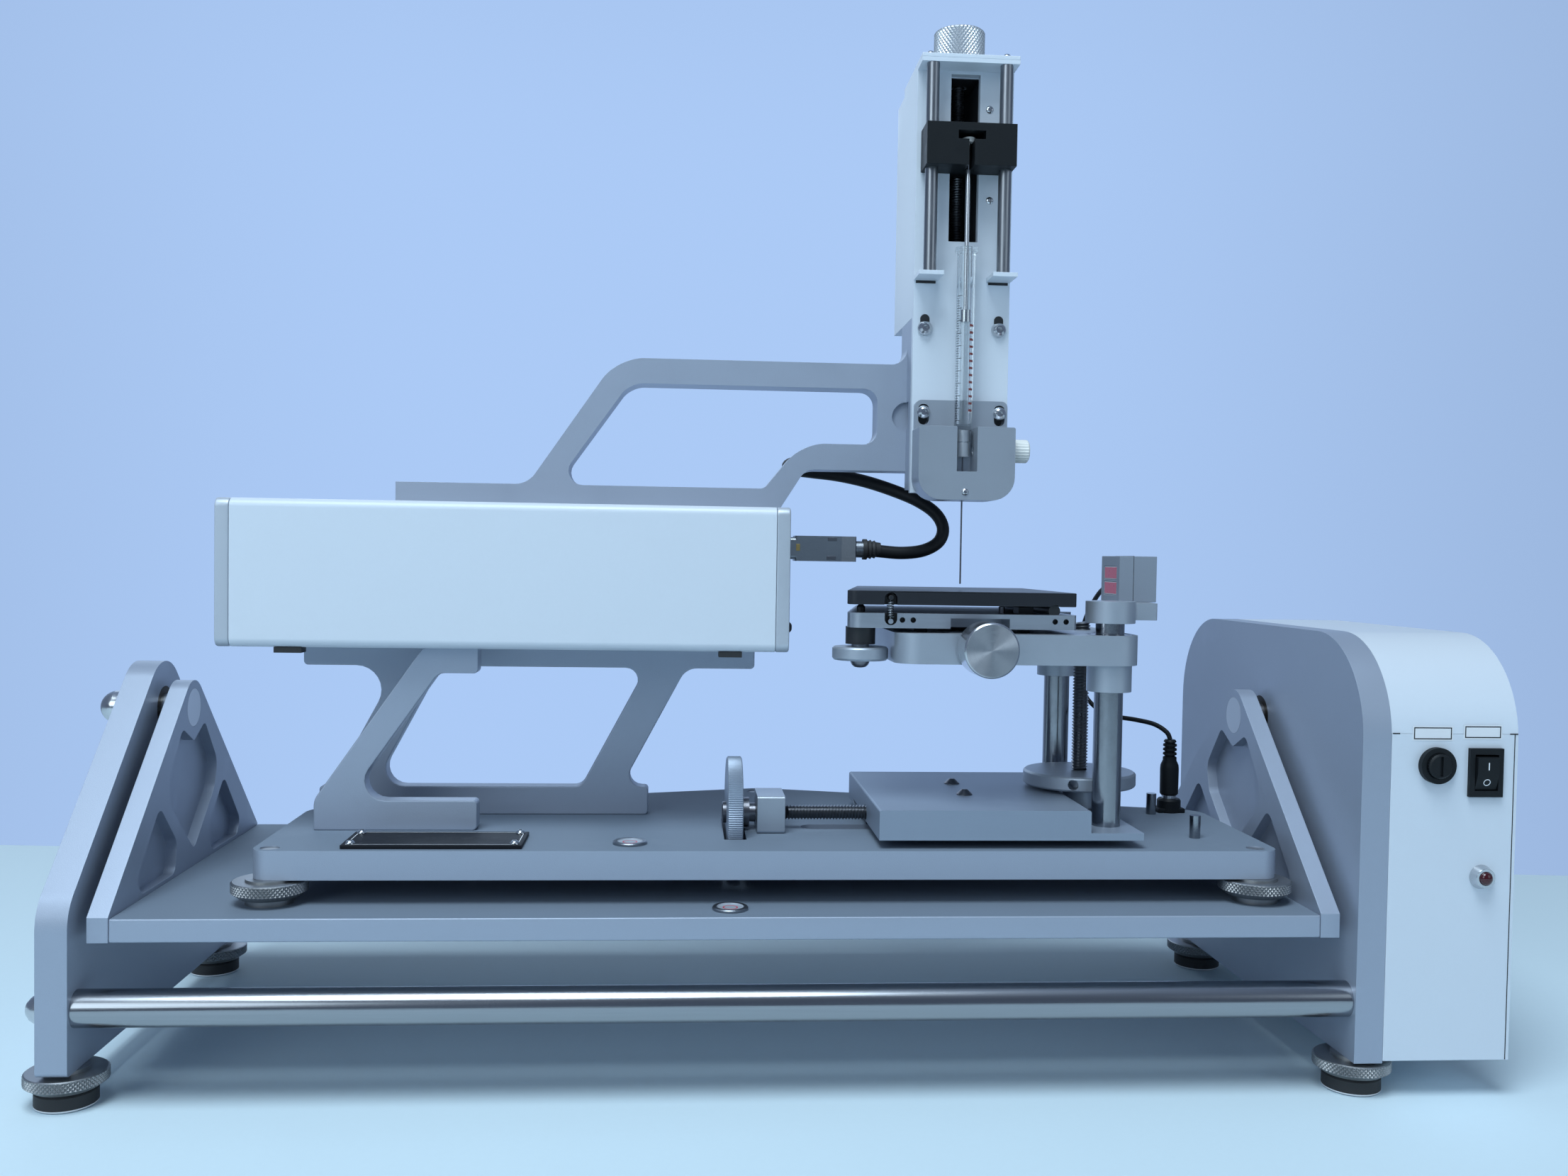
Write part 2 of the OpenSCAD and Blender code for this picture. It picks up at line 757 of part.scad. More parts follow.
module cradle_plate() {
    color("lightsteelblue") in_frame()
        block([-gusset_in, cradle_inset, cradle_z], [gusset_in, cradle_back, cradle_top]);
}
module gusset_profile() {
    crown = [pivot_y, pivot_z];
    front = [cradle_inset, cradle_top + 0.5];
    back = [cradle_back, cradle_top + 0.5];
    polygon([[cradle_inset, cradle_z], [cradle_back, cradle_z], back, tangent(back, crown, gusset_r, 1),
        tangent(front, crown, gusset_r, -1), front]);
    translate(crown) circle(gusset_r);
}
// Shield-shaped middle pocket and two corner pockets, drawn from the pivot and the floor plate
module gusset_pockets() {
    low = cradle_top - pivot_z + 1.5;
    wide = 33.3;
    translate([pivot_y, pivot_z]) {
        polygon(rounded(
            [[-15, -8.5], [0, -16], [15, -8.5], [wide, -30], [29, -43], [0, low + 6], [-29, -43],
                [-wide, -30]],
            [4, 3, 4, 9, 9, 4, 9, 9]));
        for (s = [-1, 1])
            polygon(rounded([[s * 43.5, low + 34], [s * 70, low + 7], [s * 64, low], [s * 25, low],
                [s * 22, low + 14]], [5, 5, 4, 5, 7]));
    }
}
module gussets() {
    color("lightsteelblue") in_frame() for (side = [-1, 1]) {
        outer = side * gusset_out;
        inner = side * gusset_in;
        difference() {
            slab_yz(min(outer, inner), gusset_t) gusset_profile();
            slab_yz(side > 0 ? inner - through : inner - pocket_depth, pocket_depth + through)
                gusset_pockets();
            rod_x([min(outer, inner) - through, pivot_y, pivot_z], pivot_d, gusset_t + 2 * through);
            rod_x([side > 0 ? inner - through : inner - pivot_disc_t, pivot_y, pivot_z], pivot_disc_d,
                pivot_disc_t + through);
        }
    }
}
module pivot_pin() {
    cap_d = 15.4;
    dome_h = 7;
    neck = pivot_cap_out - free - dome_h;
    nut_out = plate_out + free + neck;
    color("silver") in_frame() {
        rod_x([-gusset_in - pivot_disc_t, pivot_y, pivot_z], pivot_disc_d, pivot_disc_t);
        // Cap nut outside the left plate, with the pin screwed into its dome
        rod_x([-nut_out - through, pivot_y, pivot_z], pivot_d, nut_out + through - gusset_in);
        rod_x([-nut_out, pivot_y, pivot_z], cap_d, neck);
        translate([-nut_out, pivot_y, pivot_z]) rotate([0, -90, 0]) dome(cap_d, dome_h);
    }
}
module drive_shaft() {
    coupling_d = 22;
    coupling_l = 8;
    shaft_end = gearbox_x + 16;
    color("silver") in_frame() {
        rod_x([gusset_in, pivot_y, pivot_z], pivot_disc_d, pivot_disc_t);
        rod_x([gusset_in, pivot_y, pivot_z], pivot_d, shaft_end - gusset_in);
        rod_x([plate_out + 2, pivot_y, pivot_z], coupling_d, coupling_l);
    }
}

wheel_slot = [x_wheel_t + 3, 2 * x_wheel_r - 0.8];
pin_d = 5;
pin_h = 10.5;
pin_seat = 8;
pin_ys = [55.5, 115.5];
pin_in = 28.5;
pin_x = base_right - pin_in;
module base_plate() {
    color("lightsteelblue") in_frame() difference() {
        slab_xy(base_z, base_t) polygon(rounded(
            [[base_left, base_front], [base_right, base_front], [base_right, base_side_y],
                [base_x, base_side_y + base_peak], [base_left, base_side_y]],
            [8, 8, 14, 20, 14]));
        translate([x_wheel_x + x_wheel_t / 2 - wheel_slot[0] / 2, x_screw_y - wheel_slot[1] / 2,
            base_z - through])
            cube([wheel_slot[0], wheel_slot[1], base_t + 2 * through]);
        // Groove under the X screw
        slab_xy(base_top - 3, 3 + through) polygon(box_outline(
            [carriage_left - 30, rail_ys[0] - 13], [carriage_right - 9.5, rail_ys[0] - 1.5], 5.7));
        for (at = base_feet)
            rod_z([at[0], at[1], base_z - through], stud_d + 2 * fit, base_t + 2 * through);
        for (y = pin_ys) rod_z([pin_x, y, base_top - pin_seat], pin_d, pin_seat + through);
    }
}
module base_wheel(at) {
    pad_h = base_lift - 8;
    pad_d = 20;
    wheel_t = 7;
    color("silver") in_frame() translate([at[0], at[1], cradle_top]) {
        cylinder(d = pad_d, h = base_lift);
        translate([0, 0, pad_h]) bevelled_disc(base_wheel_d / 2, wheel_t, 0.8);
        cylinder(d = stud_d, h = base_lift + base_t - 0.6);
    }
}
module base_wheel_left() {
    base_wheel(base_feet[0]);
}
module base_wheel_right() {
    base_wheel(base_feet[1]);
}
module base_wheel_rear() {
    base_wheel(base_feet[2]);
}
module stop_pins() {
    color("silver") in_frame() for (y = pin_ys)
        translate([pin_x, y, base_top - pin_seat]) cylinder(d = pin_d, h = pin_seat + pin_h);
}
module lamp_plug() {
    color("dimgray") in_frame() translate([socket_x, socket_y, base_top]) {
        // Socket on the base plate
        cylinder(d = 12, h = socket_top - base_top - 1);
        translate([-7, -5, 0]) cube([14, 10, 2.5]);
        cylinder(d = 6, h = socket_top - base_top);
        // Plug with a waisted grip
        translate([0, 0, socket_top - base_top]) rotate_extrude() polygon([
            [0, 0], [4, 0], [4.5, 1], [4.5, 14], [3.2, 18.5], [3.2, plug_top - socket_top],
            [0, plug_top - socket_top]
        ]);
    }
}

// Z-shaped front bracket: foot bar on the base plate, slanted strut, head bar under the housing
bracket_in = 15.5;
bracket_foot = 73.5;
bracket_head_in = 89;
bracket_head = 25;
bracket_strut = 14.7;
bracket_neck = 7;
module front_bracket() {
    left = base_left + bracket_in;
    right = left + bracket_foot;
    head_l = housing_left + bracket_head_in;
    head_r = head_l + bracket_head;
    color("lightsteelblue") in_frame() slab_xz(front_bracket_y, bracket_t) polygon(rounded(
        [[left, base_top], [right, base_top], [right, base_top + foot_bar_h],
            [left + bracket_strut, base_top + foot_bar_h], [head_l + bracket_neck, housing_z - bar_h],
            [head_r, housing_z - bar_h], [head_r, housing_z], [head_l, housing_z],
            [left, base_top + foot_bar_h]],
        [1, 2, 2, 9, 6, 2, 1, 4, 9]));
}
// Rear frame: head bar under the housing and foot bar on the base plate, joined by two struts
head_bar_in = [25.3, 12.8];
foot_bar_in = 8;
foot_bar = 158.3;
strut_head_in = [70, 66];
strut_foot_in = [6, 125.6];
strut_w = 19.6;
module rear_frame() {
    bar_left = housing_left + head_bar_in[0];
    bar_right = housing_right - head_bar_in[1];
    foot_left = base_left + foot_bar_in;
    foot_right = foot_left + foot_bar;
    strut_top = [housing_left + strut_head_in[0], housing_right - strut_head_in[1]];
    strut_low = [foot_left + strut_foot_in[0], foot_left + strut_foot_in[1]];
    z0 = base_top + foot_bar_h;
    z1 = housing_z - bar_h;
    color("lightsteelblue") in_frame() slab_xz(rear_frame_y, bracket_t) difference() {
        polygon(rounded(
            [[foot_left, base_top], [foot_right, base_top], [foot_right, z0],
                [strut_low[1] + strut_w, z0], [strut_top[1] + strut_w, z1], [bar_right, z1],
                [bar_right, housing_z], [bar_left, housing_z], [bar_left, z1], [strut_top[0], z1],
                [strut_low[0], z0], [foot_left, z0]],
            [1, 2, 2, 6, 9, 2, 1, 1, 2, 12, 2, 2]));
        polygon(rounded(
            [[strut_low[0] + strut_w, z0], [strut_low[1], z0], [strut_top[1], z1],
                [strut_top[0] + strut_w, z1]],
            [9, 6, 6, 9]));
    }
}

module housing_shell() {
    color("white") in_frame() slab_yz(housing_left + end_cap_t, housing_len - 2 * end_cap_t) difference() {
        polygon(box_outline([housing_front, housing_z], [housing_back, housing_top], housing_r));
        polygon(box_outline([housing_front + housing_wall, housing_z + housing_wall],
            [housing_back - housing_wall, housing_top - housing_wall], 1));
    }
}
lens_d = 36;
window_d = 30;
window_depth = 2;
module housing_caps() {
    color("lightgray") in_frame() difference() {
        for (x = [housing_left, housing_right - end_cap_t])
            slab_yz(x, end_cap_t)
                polygon(box_outline([housing_front, housing_z], [housing_back, housing_top], housing_r));
        rod_x([housing_right - window_depth, axis_y, axis_z], window_d, window_depth + through);
    }
}
camera_in = 60;
camera_len = 90;
camera_side = 46;
mount_in = 20;
mount_w = 30;
lens_gap = 4;
ring_at = 25;
ring_len = 22;
ring_rim = 3;
module camera_unit() {
    body_x = housing_left + camera_in;
    body_end = body_x + camera_len;
    floor_z = housing_z + housing_wall;
    lens_x = housing_right - end_cap_t - lens_gap;
    color("dimgray") in_frame() {
        block([body_x, axis_y - camera_side / 2, axis_z - camera_side / 2],
            [body_end, axis_y + camera_side / 2, axis_z + camera_side / 2]);
        block([body_x + mount_in, axis_y - mount_w / 2, floor_z],
            [body_end - mount_in, axis_y + mount_w / 2, axis_z]);
        rod_x([body_end - through, axis_y, axis_z], lens_d, lens_x - body_end + through);
        rod_x([body_end + ring_at, axis_y, axis_z], lens_d + 2 * ring_rim, ring_len);
    }
}

// Upper arm: flat lever with a large window, and a palm that carries the syringe head
arm_h = 74.7;
arm_edge = housing_top + arm_h;
lower_bar_h = 11.4;
lower_bar = housing_top + lower_bar_h;
arm_clear = 21.4;
arm_under = housing_top + arm_clear;
palm_rise = 2;
palm_z = head_z + palm_rise;
arm_tail = 66;
arm_foot = 64;
arm_lean = 43.3;
nose_in = 1.6;
palm_top = motor_cover_z - slip;
module upper_arm() {
    tail = housing_left + arm_tail;
    knee = tail + arm_foot;
    lean = arm_lean;
    nose = housing_right - nose_in;
    moon_d = 13;
    moon_z = housing_top + 49.4;
    color("lightsteelblue") in_frame() difference() {
        union() {
            slab_xz(arm_front, arm_t) difference() {
                polygon(rounded(
                    [[tail, housing_top], [nose, housing_top], [nose + 13.5, arm_under],
                        [head_right - 10, arm_under], [head_right - 10, palm_top], [head_left, palm_top],
                        [head_left, arm_edge], [knee + lean, arm_edge], [knee, lower_bar], [tail, lower_bar]],
                    [0, 0, 9, 0, 0, 0, 8, 16, 12, 0]));
                polygon(rounded(
                    [[knee + lean + 6.2, arm_edge - 12.5], [head_left - 14.5, arm_edge - 12.5],
                        [head_left - 14.5, arm_under + 13], [nose + 11.5, arm_under + 13],
                        [nose - 7, lower_bar], [knee + 13.4, lower_bar]],
                    [6, 7, 7, 12, 5, 7]));
            }
            block([head_left, head_back, palm_z], [head_right, arm_front + 1, palm_top]);
        }
        rod_y([head_left, arm_front - 6, moon_z], moon_d, 8);
    }
}

module head_plate() {
    tab_w = 12;
    color("white") in_frame() difference() {
        union() {
            block([head_left, head_front, head_z], [head_right, head_back, head_top + cap_plate_t]);
            // Top shelf and the two tabs that hold the guide rods
            block([head_left, axis_y - cap_out, head_top],
                [head_right, head_front + 1, head_top + cap_plate_t]);
            for (s = [-1, 1]) {
                x = needle_x + s * rod_gap / 2;
                block([x - tab_w / 2, axis_y - 6, tab_z - tab_h], [x + tab_w / 2, head_front + 1, tab_z]);
            }
        }
        translate([needle_x - slot_w / 2, head_front - through, slot_z])
            cube([slot_w, head_t + 2 * through, slot_h]);
    }
}
module motor_cover() {
    wall = 2;
    size = [head_w, motor_cover_back - head_back, head_top - motor_cover_z];
    color("white") in_frame() difference() {
        union() {
            block([head_left, head_back, motor_cover_z], [head_right, motor_cover_back, head_top]);
            // Upper layer of the top cap, over the face plate's shelf
            block([head_left, head_back, head_top - through],
                [head_right, motor_cover_back - 20, head_top + cap_plate_t]);
            block([head_left, axis_y - cap_out, head_top + cap_plate_t],
                [head_right, motor_cover_back - 20, head_top + 2 * cap_plate_t]);
        }
        block([head_left + wall, head_back - through, motor_cover_z + wall],
            [head_right - wall, motor_cover_back - wall, head_top - wall]);
        rod_z([needle_x, screw_y, head_top - wall - through], drive_screw_d + 2 * fit, 4 * cap_plate_t);
        // Gland hole for the drive lead
        rod_z([gland_x, gland_y, motor_cover_z - through], drive_lead_d + 2 * free, wall + 2 * through);
    }
}
module stepper_motor() {
    z = motor_cover_z + 2;
    color("dimgray") in_frame() difference() {
        union() {
            slab_xy(z, motor_h) polygon(box_outline(
                [needle_x - motor_w / 2, screw_y - motor_w / 2],
                [needle_x + motor_w / 2, screw_y + motor_w / 2], 3));
            rod_z([needle_x, screw_y, z + motor_h - 1], 12, 2);
        }
        rod_z([needle_x, screw_y, z + motor_h - 10], drive_screw_d + 2 * fit, 20);
    }
}
module guide_rods() {
    color("silver") in_frame() for (s = [-1, 1])
        rod_z([needle_x + s * rod_gap / 2, axis_y, tab_z], rod_d, head_top - tab_z);
}
module syringe_drive() {
    z = motor_cover_z + motor_h - 6;
    knob_z = head_top + 2 * cap_plate_t + free;
    color("silver") in_frame() {
        rod_z([needle_x, screw_y, z], drive_screw_d, knob_z - z + 1);
        translate([needle_x, screw_y, knob_z]) bevelled_disc(drive_knob_d / 2, drive_knob_h, 1);
    }
}
module pusher_block() {
    tongue_w = slot_w - 1.4;
    tongue_h = 15;
    button_slot = [13.2, 6, 4];
    color("dimgray") in_frame() difference() {
        union() {
            block([needle_x - pusher_w / 2, pusher_front, pusher_z],
                [needle_x + pusher_w / 2, pusher_back, pusher_z + pusher_h]);
            block([needle_x - tongue_w / 2, pusher_back - 1, pusher_z + 3],
                [needle_x + tongue_w / 2, screw_y + 7, pusher_z + 3 + tongue_h]);
        }
        for (s = [-1, 1])
            rod_z([needle_x + s * rod_gap / 2, axis_y, pusher_z - through], rod_d + 2 * fit,
                pusher_h + 2 * through);
        rod_z([needle_x, screw_y, pusher_z - through], drive_screw_d + 2 * fit, pusher_h + 2 * through);
        // Slot for the plunger's button, with a groove for its rod
        translate([needle_x - button_slot[0] / 2, pusher_front - through, button_z - 1])
            cube([button_slot[0], axis_y - pusher_front + button_slot[1] + through, button_slot[2]]);
        translate([needle_x - plunger_d / 2 - free, pusher_front - through, pusher_z - through])
            cube([plunger_d + 2 * free, axis_y - pusher_front + plunger_d / 2 + free + through,
                button_z - pusher_z + through]);
    }
}
module plunger() {
    button_d = 6.4;
    button_h = 2.4;
    color("silver") in_frame() {
        rod_z([needle_x, axis_y, plunger_tip_z], plunger_d, button_z - plunger_tip_z);
        rod_z([needle_x, axis_y, button_z - 0.8], button_d, button_h);
        rod_z([needle_x, axis_y, plunger_tip_z], barrel_bore - 2 * fit, 6);
    }
}
module syringe_barrel() {
    flange_d = 11;
    flange_h = 2.2;
    color("lightblue") in_frame() difference() {
        union() {
            rod_z([needle_x, axis_y, barrel_z], barrel_d, barrel_len);
            rod_z([needle_x, axis_y, barrel_top - flange_h], flange_d, flange_h);
        }
        rod_z([needle_x, axis_y, barrel_z + 3], barrel_bore, barrel_len);
    }
}
module needle() {
    collar_d = hub_d - 1;
    color("silver") in_frame() {
        rod_z([needle_x, axis_y, hub_z], hub_d, 6.6);
        rod_z([needle_x, axis_y, hub_z + 6], collar_d, barrel_z - hub_z - 6);
        rod_z([needle_x, axis_y, hub_z + 7.4], hub_d, barrel_z - hub_z - 7.4);
        rod_z([needle_x, axis_y, needle_tip], needle_d, hub_z - needle_tip);
    }
}
clamp_front = head_front - clamp_d;
clamp_left = needle_x - 23.3;
clamp_right = needle_x + 23.3;
clamp_slot = [9.8, 21.4];
clamp_bolt_d = 4;
module clamp_block() {
    shelf_t = 5;
    slot_w_low = 5.2;
    color("silver") in_frame() difference() {
        union() {
            slab_xz(clamp_front, clamp_d) polygon(rounded(
                [[clamp_left, clamp_z], [clamp_right, clamp_z], [clamp_right, clamp_step],
                    [clamp_left, clamp_step]], [11, 11, 1, 1]));
            slab_xz(head_front - shelf_t, shelf_t) polygon(rounded(
                [[head_left + 1, clamp_step - 2], [head_right - 1, clamp_step - 2],
                    [head_right - 1, clamp_top], [head_left + 1, clamp_top]], [0, 0, 3, 3]));
        }
        translate([needle_x - clamp_slot[0] / 2, clamp_front - through, clamp_step - clamp_slot[1]])
            cube([clamp_slot[0], axis_y - clamp_front + barrel_d / 2 + free + through,
                clamp_slot[1] + through]);
        rod_z([needle_x, axis_y, clamp_z - through], needle_d + 2, clamp_slot[1]);
        rod_x([needle_x, axis_y, hub_z + 3.3], clamp_bolt_d + 2 * fit, clamp_right);
        for (s = [-1, 1]) slab_xz(head_front - shelf_t - through, shelf_t + 2 * through)
            polygon(box_outline([needle_x + s * 18.7 - slot_w_low / 2, clamp_step + 2],
                [needle_x + s * 18.7 + slot_w_low / 2, clamp_step + 12], 2.4));
    }
}
module clamp_screw() {
    grip_d = 11.3;
    grip_w = 8.5;
    tip_x = needle_x + hub_d / 2 + free;
    color("white") in_frame() {
        rod_x([tip_x, axis_y, hub_z + 3.3], clamp_bolt_d, clamp_right - tip_x + 1);
        translate([clamp_right + free, axis_y, hub_z + 3.3]) rotate([0, 90, 0])
            bevelled_disc(grip_d / 2, grip_w, 0.8);
    }
}

// Dovetail rail, drawn across the slide; the carriage's groove is the same shape with a gap
rail_lip = 0.2;
rail_low = carriage_z - base_top - rail_lip;
rail_deep = 2.2;
rail_ys = [88, 120];
rail_in = 2;
rail_short = 10.5;
rail_flare = 3;
rail_slope = rail_flare / (rail_deep + rail_lip);
bearing_d = 25;
bearing_rise = 9.5;
module rail_profile(gap) {
    low = base_top + rail_low;
    high = carriage_z + rail_deep + gap;
    flare = rail_flare + gap * (1 + rail_slope);
    polygon([
        [rail_ys[0] - gap, base_top], [rail_ys[1] + gap, base_top], [rail_ys[1] + gap, low],
        [rail_ys[1] + flare, high], [rail_ys[0] - flare, high], [rail_ys[0] - gap, low]
    ]);
}
module x_slide_base() {
    color("dimgray") in_frame() {
        // The rail ends short of the lift screw's lower journal
        slab_yz(carriage_left + rail_in, carriage_w - rail_in - rail_short) rail_profile(0);
        // Bearing block of the X screw
        difference() {
            slab_yz(bearing_x, bearing_w) polygon(box_outline(
                [x_screw_y - bearing_d / 2, base_top],
                [x_screw_y + bearing_d / 2, x_screw_z + bearing_rise], 1.5));
            rod_x([bearing_x - through, x_screw_y, x_screw_z], x_screw_d + 2 * fit, bearing_w + 2 * through);
        }
    }
}
x_screw_in = 46;
x_screw_end = carriage_left + x_screw_in;
// Bore ahead of the screw, for the carriage's travel
screw_run = 25;
module x_screw() {
    nut_d = 10;
    hub_d_x = 14;
    color("silver") in_frame() {
        translate([x_wheel_x, x_screw_y, x_screw_z]) rotate([0, 90, 0])
            bevelled_disc(x_wheel_r, x_wheel_t, 1);
        rod_x([x_wheel_x - 3, x_screw_y, x_screw_z], nut_d, 4);
        rod_x([x_wheel_x + x_wheel_t - through, x_screw_y, x_screw_z], hub_d_x,
            bearing_x - free - x_wheel_x - x_wheel_t + through);
        rod_x([x_wheel_x, x_screw_y, x_screw_z], x_screw_d, x_screw_end - x_wheel_x);
    }
}
spigot_d = 8;
journal_d = 6;
module carriage() {
    back = carriage_front + carriage_d;
    color("lightsteelblue") in_frame() difference() {
        union() {
            slab_xz(carriage_front, carriage_d) polygon(rounded(
                [[carriage_left, carriage_z], [carriage_right, carriage_z], [carriage_right, carriage_top],
                    [carriage_left, carriage_top]], [0, 0, 1, 1]));
            block([carriage_right - 1, carriage_front, carriage_z], [tab_right, back, tab_top]);
        }
        slab_yz(carriage_left - through, carriage_w + tab_right) rail_profile(slip);
        rod_x([carriage_left - through, x_screw_y, x_screw_z], x_screw_d + 2 * fit,
            x_screw_end - carriage_left + screw_run);
        for (y = post_ys) rod_z([post_x, y, carriage_z - through], spigot_d, tab_t + 2 * through);
        rod_z([post_x, z_screw_y, carriage_z - through], journal_d + 2 * fit, tab_t + 2 * through);
    }
}
boss_roof = 1;
post_over = 7;
module posts() {
    tops = [boss_z + boss_h - boss_roof, arm_top + post_over];
    color("silver") in_frame() for (i = [0, 1]) {
        rod_z([post_x, post_ys[i], tab_top], post_d, tops[i] - tab_top);
        rod_z([post_x, post_ys[i], carriage_z], spigot_d, tab_t + 1);
    }
}
module z_screw() {
    hole_d = 4;
    hub = 16;
    color("silver") in_frame() translate([post_x, z_screw_y, 0]) difference() {
        union() {
            translate([0, 0, disc_z]) bevelled_disc(disc_r, disc_t, 0.8);
            translate([0, 0, tab_top + slip]) cylinder(d = hub, h = disc_z - tab_top);
            translate([0, 0, carriage_z + 0.2]) cylinder(d = journal_d, h = 5);
            translate([0, 0, disc_z]) cylinder(d = z_screw_d, h = boss_z + 0.2 - disc_z);
        }
        // Tommy bar hole in the rim
        translate([0, 0, disc_z + disc_t / 2]) rotate([0, 90, 255]) translate([0, 0, disc_r - 12])
            cylinder(d = hole_d, h = 14);
    }
}
y_screw_in_arm = 73;
rib_out = 24;
rib_xs = [y_screw_x - rib_out, y_screw_x + rib_out];
rib_w = 6;
rib_h = 4;
rib_end = 18;
lug = [15, 20, 13];
module stage_arm() {
    color("lightsteelblue") in_frame() {
        difference() {
            slab_xy(arm_z, stage_arm_t) polygon(box_outline([arm_left, arm_face], [arm_right, arm_rear], 11));
            for (y = post_ys) rod_z([post_x, y, arm_z - through], bushing_d, stage_arm_t + 2 * through);
            rod_z([post_x, z_screw_y, arm_z - through], z_screw_d + 2 * fit, stage_arm_t + 2 * through);
            rod_y([y_screw_x, arm_face - through, y_screw_z], y_screw_d + 2 * fit,
                y_screw_in_arm + 4 * through);
            // Slot for the lower table's nut, and grooves for its ribs
            translate([y_screw_x - lug[0] / 2 - slip, axis_y - 5 - lug[1] / 2 - y_travel - 1,
                lower_z - lug[2] - 1])
                cube([lug[0] + 2 * slip, lug[1] + 2 * y_travel + 2, stage_arm_t + 3]);
            for (x = rib_xs)
                block([x - rib_w / 2 - slip, table_front + rib_end - y_travel - through,
                    lower_z - rib_h - slip],
                    [x + rib_w / 2 + slip, table_back - rib_end + y_travel + through, arm_top + through]);
        }
        // Post bushings
        for (y = post_ys) difference() {
            rod_z([post_x, y, arm_z - bushing_drop], bushing_d - 2 * fit, bushing_drop + stage_arm_t);
            rod_z([post_x, y, arm_z - bushing_drop - through], post_d + 2 * fit,
                bushing_drop + stage_arm_t + 2 * through);
        }
    }
}
y_knob_l = 17;
y_knob_gap = 1.5;
y_collar_d = 12;
y_collar_l = 3;
module y_screw() {
    color("silver") in_frame() {
        translate([y_screw_x, arm_face - y_knob_gap - y_knob_l, y_screw_z]) rotate([-90, 0, 0])
            bevelled_disc(y_knob_r, y_knob_l, 0.6);
        rod_y([y_screw_x, arm_face - y_collar_l, y_screw_z], y_collar_d, y_collar_l - slip);
        rod_y([y_screw_x, arm_face - y_collar_l, y_screw_z], y_screw_d, y_collar_l + y_screw_in_arm);
    }
}
spring_slot = [5.7, 4.4];
peg_d = 2.4;
peg_low = lower_z + 3;
peg_high = top_z + 3.3;
module spring_recess(z0, z1) {
    slab_xz(table_front - through, spring_slot[1] + through)
        polygon(box_outline([spring_x - spring_slot[0] / 2, z0], [spring_x + spring_slot[0] / 2, z1], 2.8));
}
module table_lower() {
    notch_w = 23;
    notch_d = 16;
    notch_z = max(y_screw_z + y_knob_r + 0.6, lower_z + 1);
    collar_d = 13.6;
    color("lightgray") in_frame() {
        difference() {
            union() {
                slab_xy(lower_z, lower_t) polygon(rounded(
                    [[table_left, table_front], [table_right, table_front], [table_right, table_back],
                        [table_left + table_slant, table_back]], [6, 2, 2, 6]));
                rod_y([tilt_x, table_front + 2, tilt_z], tilt_rod_d, table_d - 4);
                for (x = rib_xs)
                    block([x - rib_w / 2, table_front + rib_end, lower_z - rib_h],
                        [x + rib_w / 2, table_back - rib_end, lower_z + 1]);
                translate([y_screw_x - lug[0] / 2, axis_y - 5 - lug[1] / 2, lower_z - lug[2]])
                    cube([lug[0], lug[1], lug[2] + 1]);
            }
            // Clearance for the knob, bore of the nut, stud hole, spring recess
            translate([y_screw_x - notch_w / 2 - 2, table_front - through, lower_z - through])
                cube([notch_w + 4, notch_d + through, notch_z - lower_z + through]);
            rod_y([y_screw_x, axis_y - 5 - lug[1], y_screw_z], y_screw_d + 2 * fit, 2 * lug[1]);
            rod_z([level_x, level_y, lower_z - through], level_d + 2 * fit, lower_t + 2 * through);
            spring_recess(lower_z + 1.3, lower_top + 4);
        }
        rod_y([spring_x, table_front + free, peg_low], peg_d, spring_slot[1] - free + 1);
        // Black collar that guides the levelling stud
        difference() {
            rod_z([level_x, level_y, lower_z - 8], collar_d, 8);
            rod_z([level_x, level_y, lower_z - 8 - through], level_d + 2 * fit, 8 + 2 * through);
        }
    }
}
module table_top() {
    color("dimgray") in_frame() {
        difference() {
            slab_xy(top_z, top_t) polygon(rounded(
                [[table_left, table_front], [table_right, table_front], [table_right, table_back],
                    [table_left + table_slant, table_back]], [4, 2, 2, 4]));
            rod_y([tilt_x, table_front - through, tilt_z], tilt_rod_d + 2 * fit, table_d + 2 * through);
            spring_recess(top_z - 4, table_z - 0.8);
        }
        rod_y([spring_x, table_front + free, peg_high], peg_d, spring_slot[1] - free + 1);
    }
}
level_wheel_t = 6.1;
level_wheel_z = lower_z - 8 - 1.2 - level_wheel_t;
module level_wheel() {
    color("silver") in_frame() translate([level_x, level_y, level_wheel_z]) difference() {
        union() {
            bevelled_disc(level_wheel_d / 2, level_wheel_t, 0.8);
            cylinder(d = 8, h = level_wheel_t + 1.2 - slip);
            mirror([0, 0, 1]) dome(9, 3.6);
        }
        translate([0, 0, -0.6]) cylinder(d = level_d + 2 * fit, h = 20);
    }
}
module level_stud() {
    z = level_wheel_z + level_travel - 0.4;
    tip = 1.5;
    color("silver") in_frame() translate([level_x, level_y, z]) {
        cylinder(d = level_d, h = top_z - 0.15 - tip - z);
        translate([0, 0, top_z - 0.15 - tip - z]) dome(level_d, tip);
    }
}
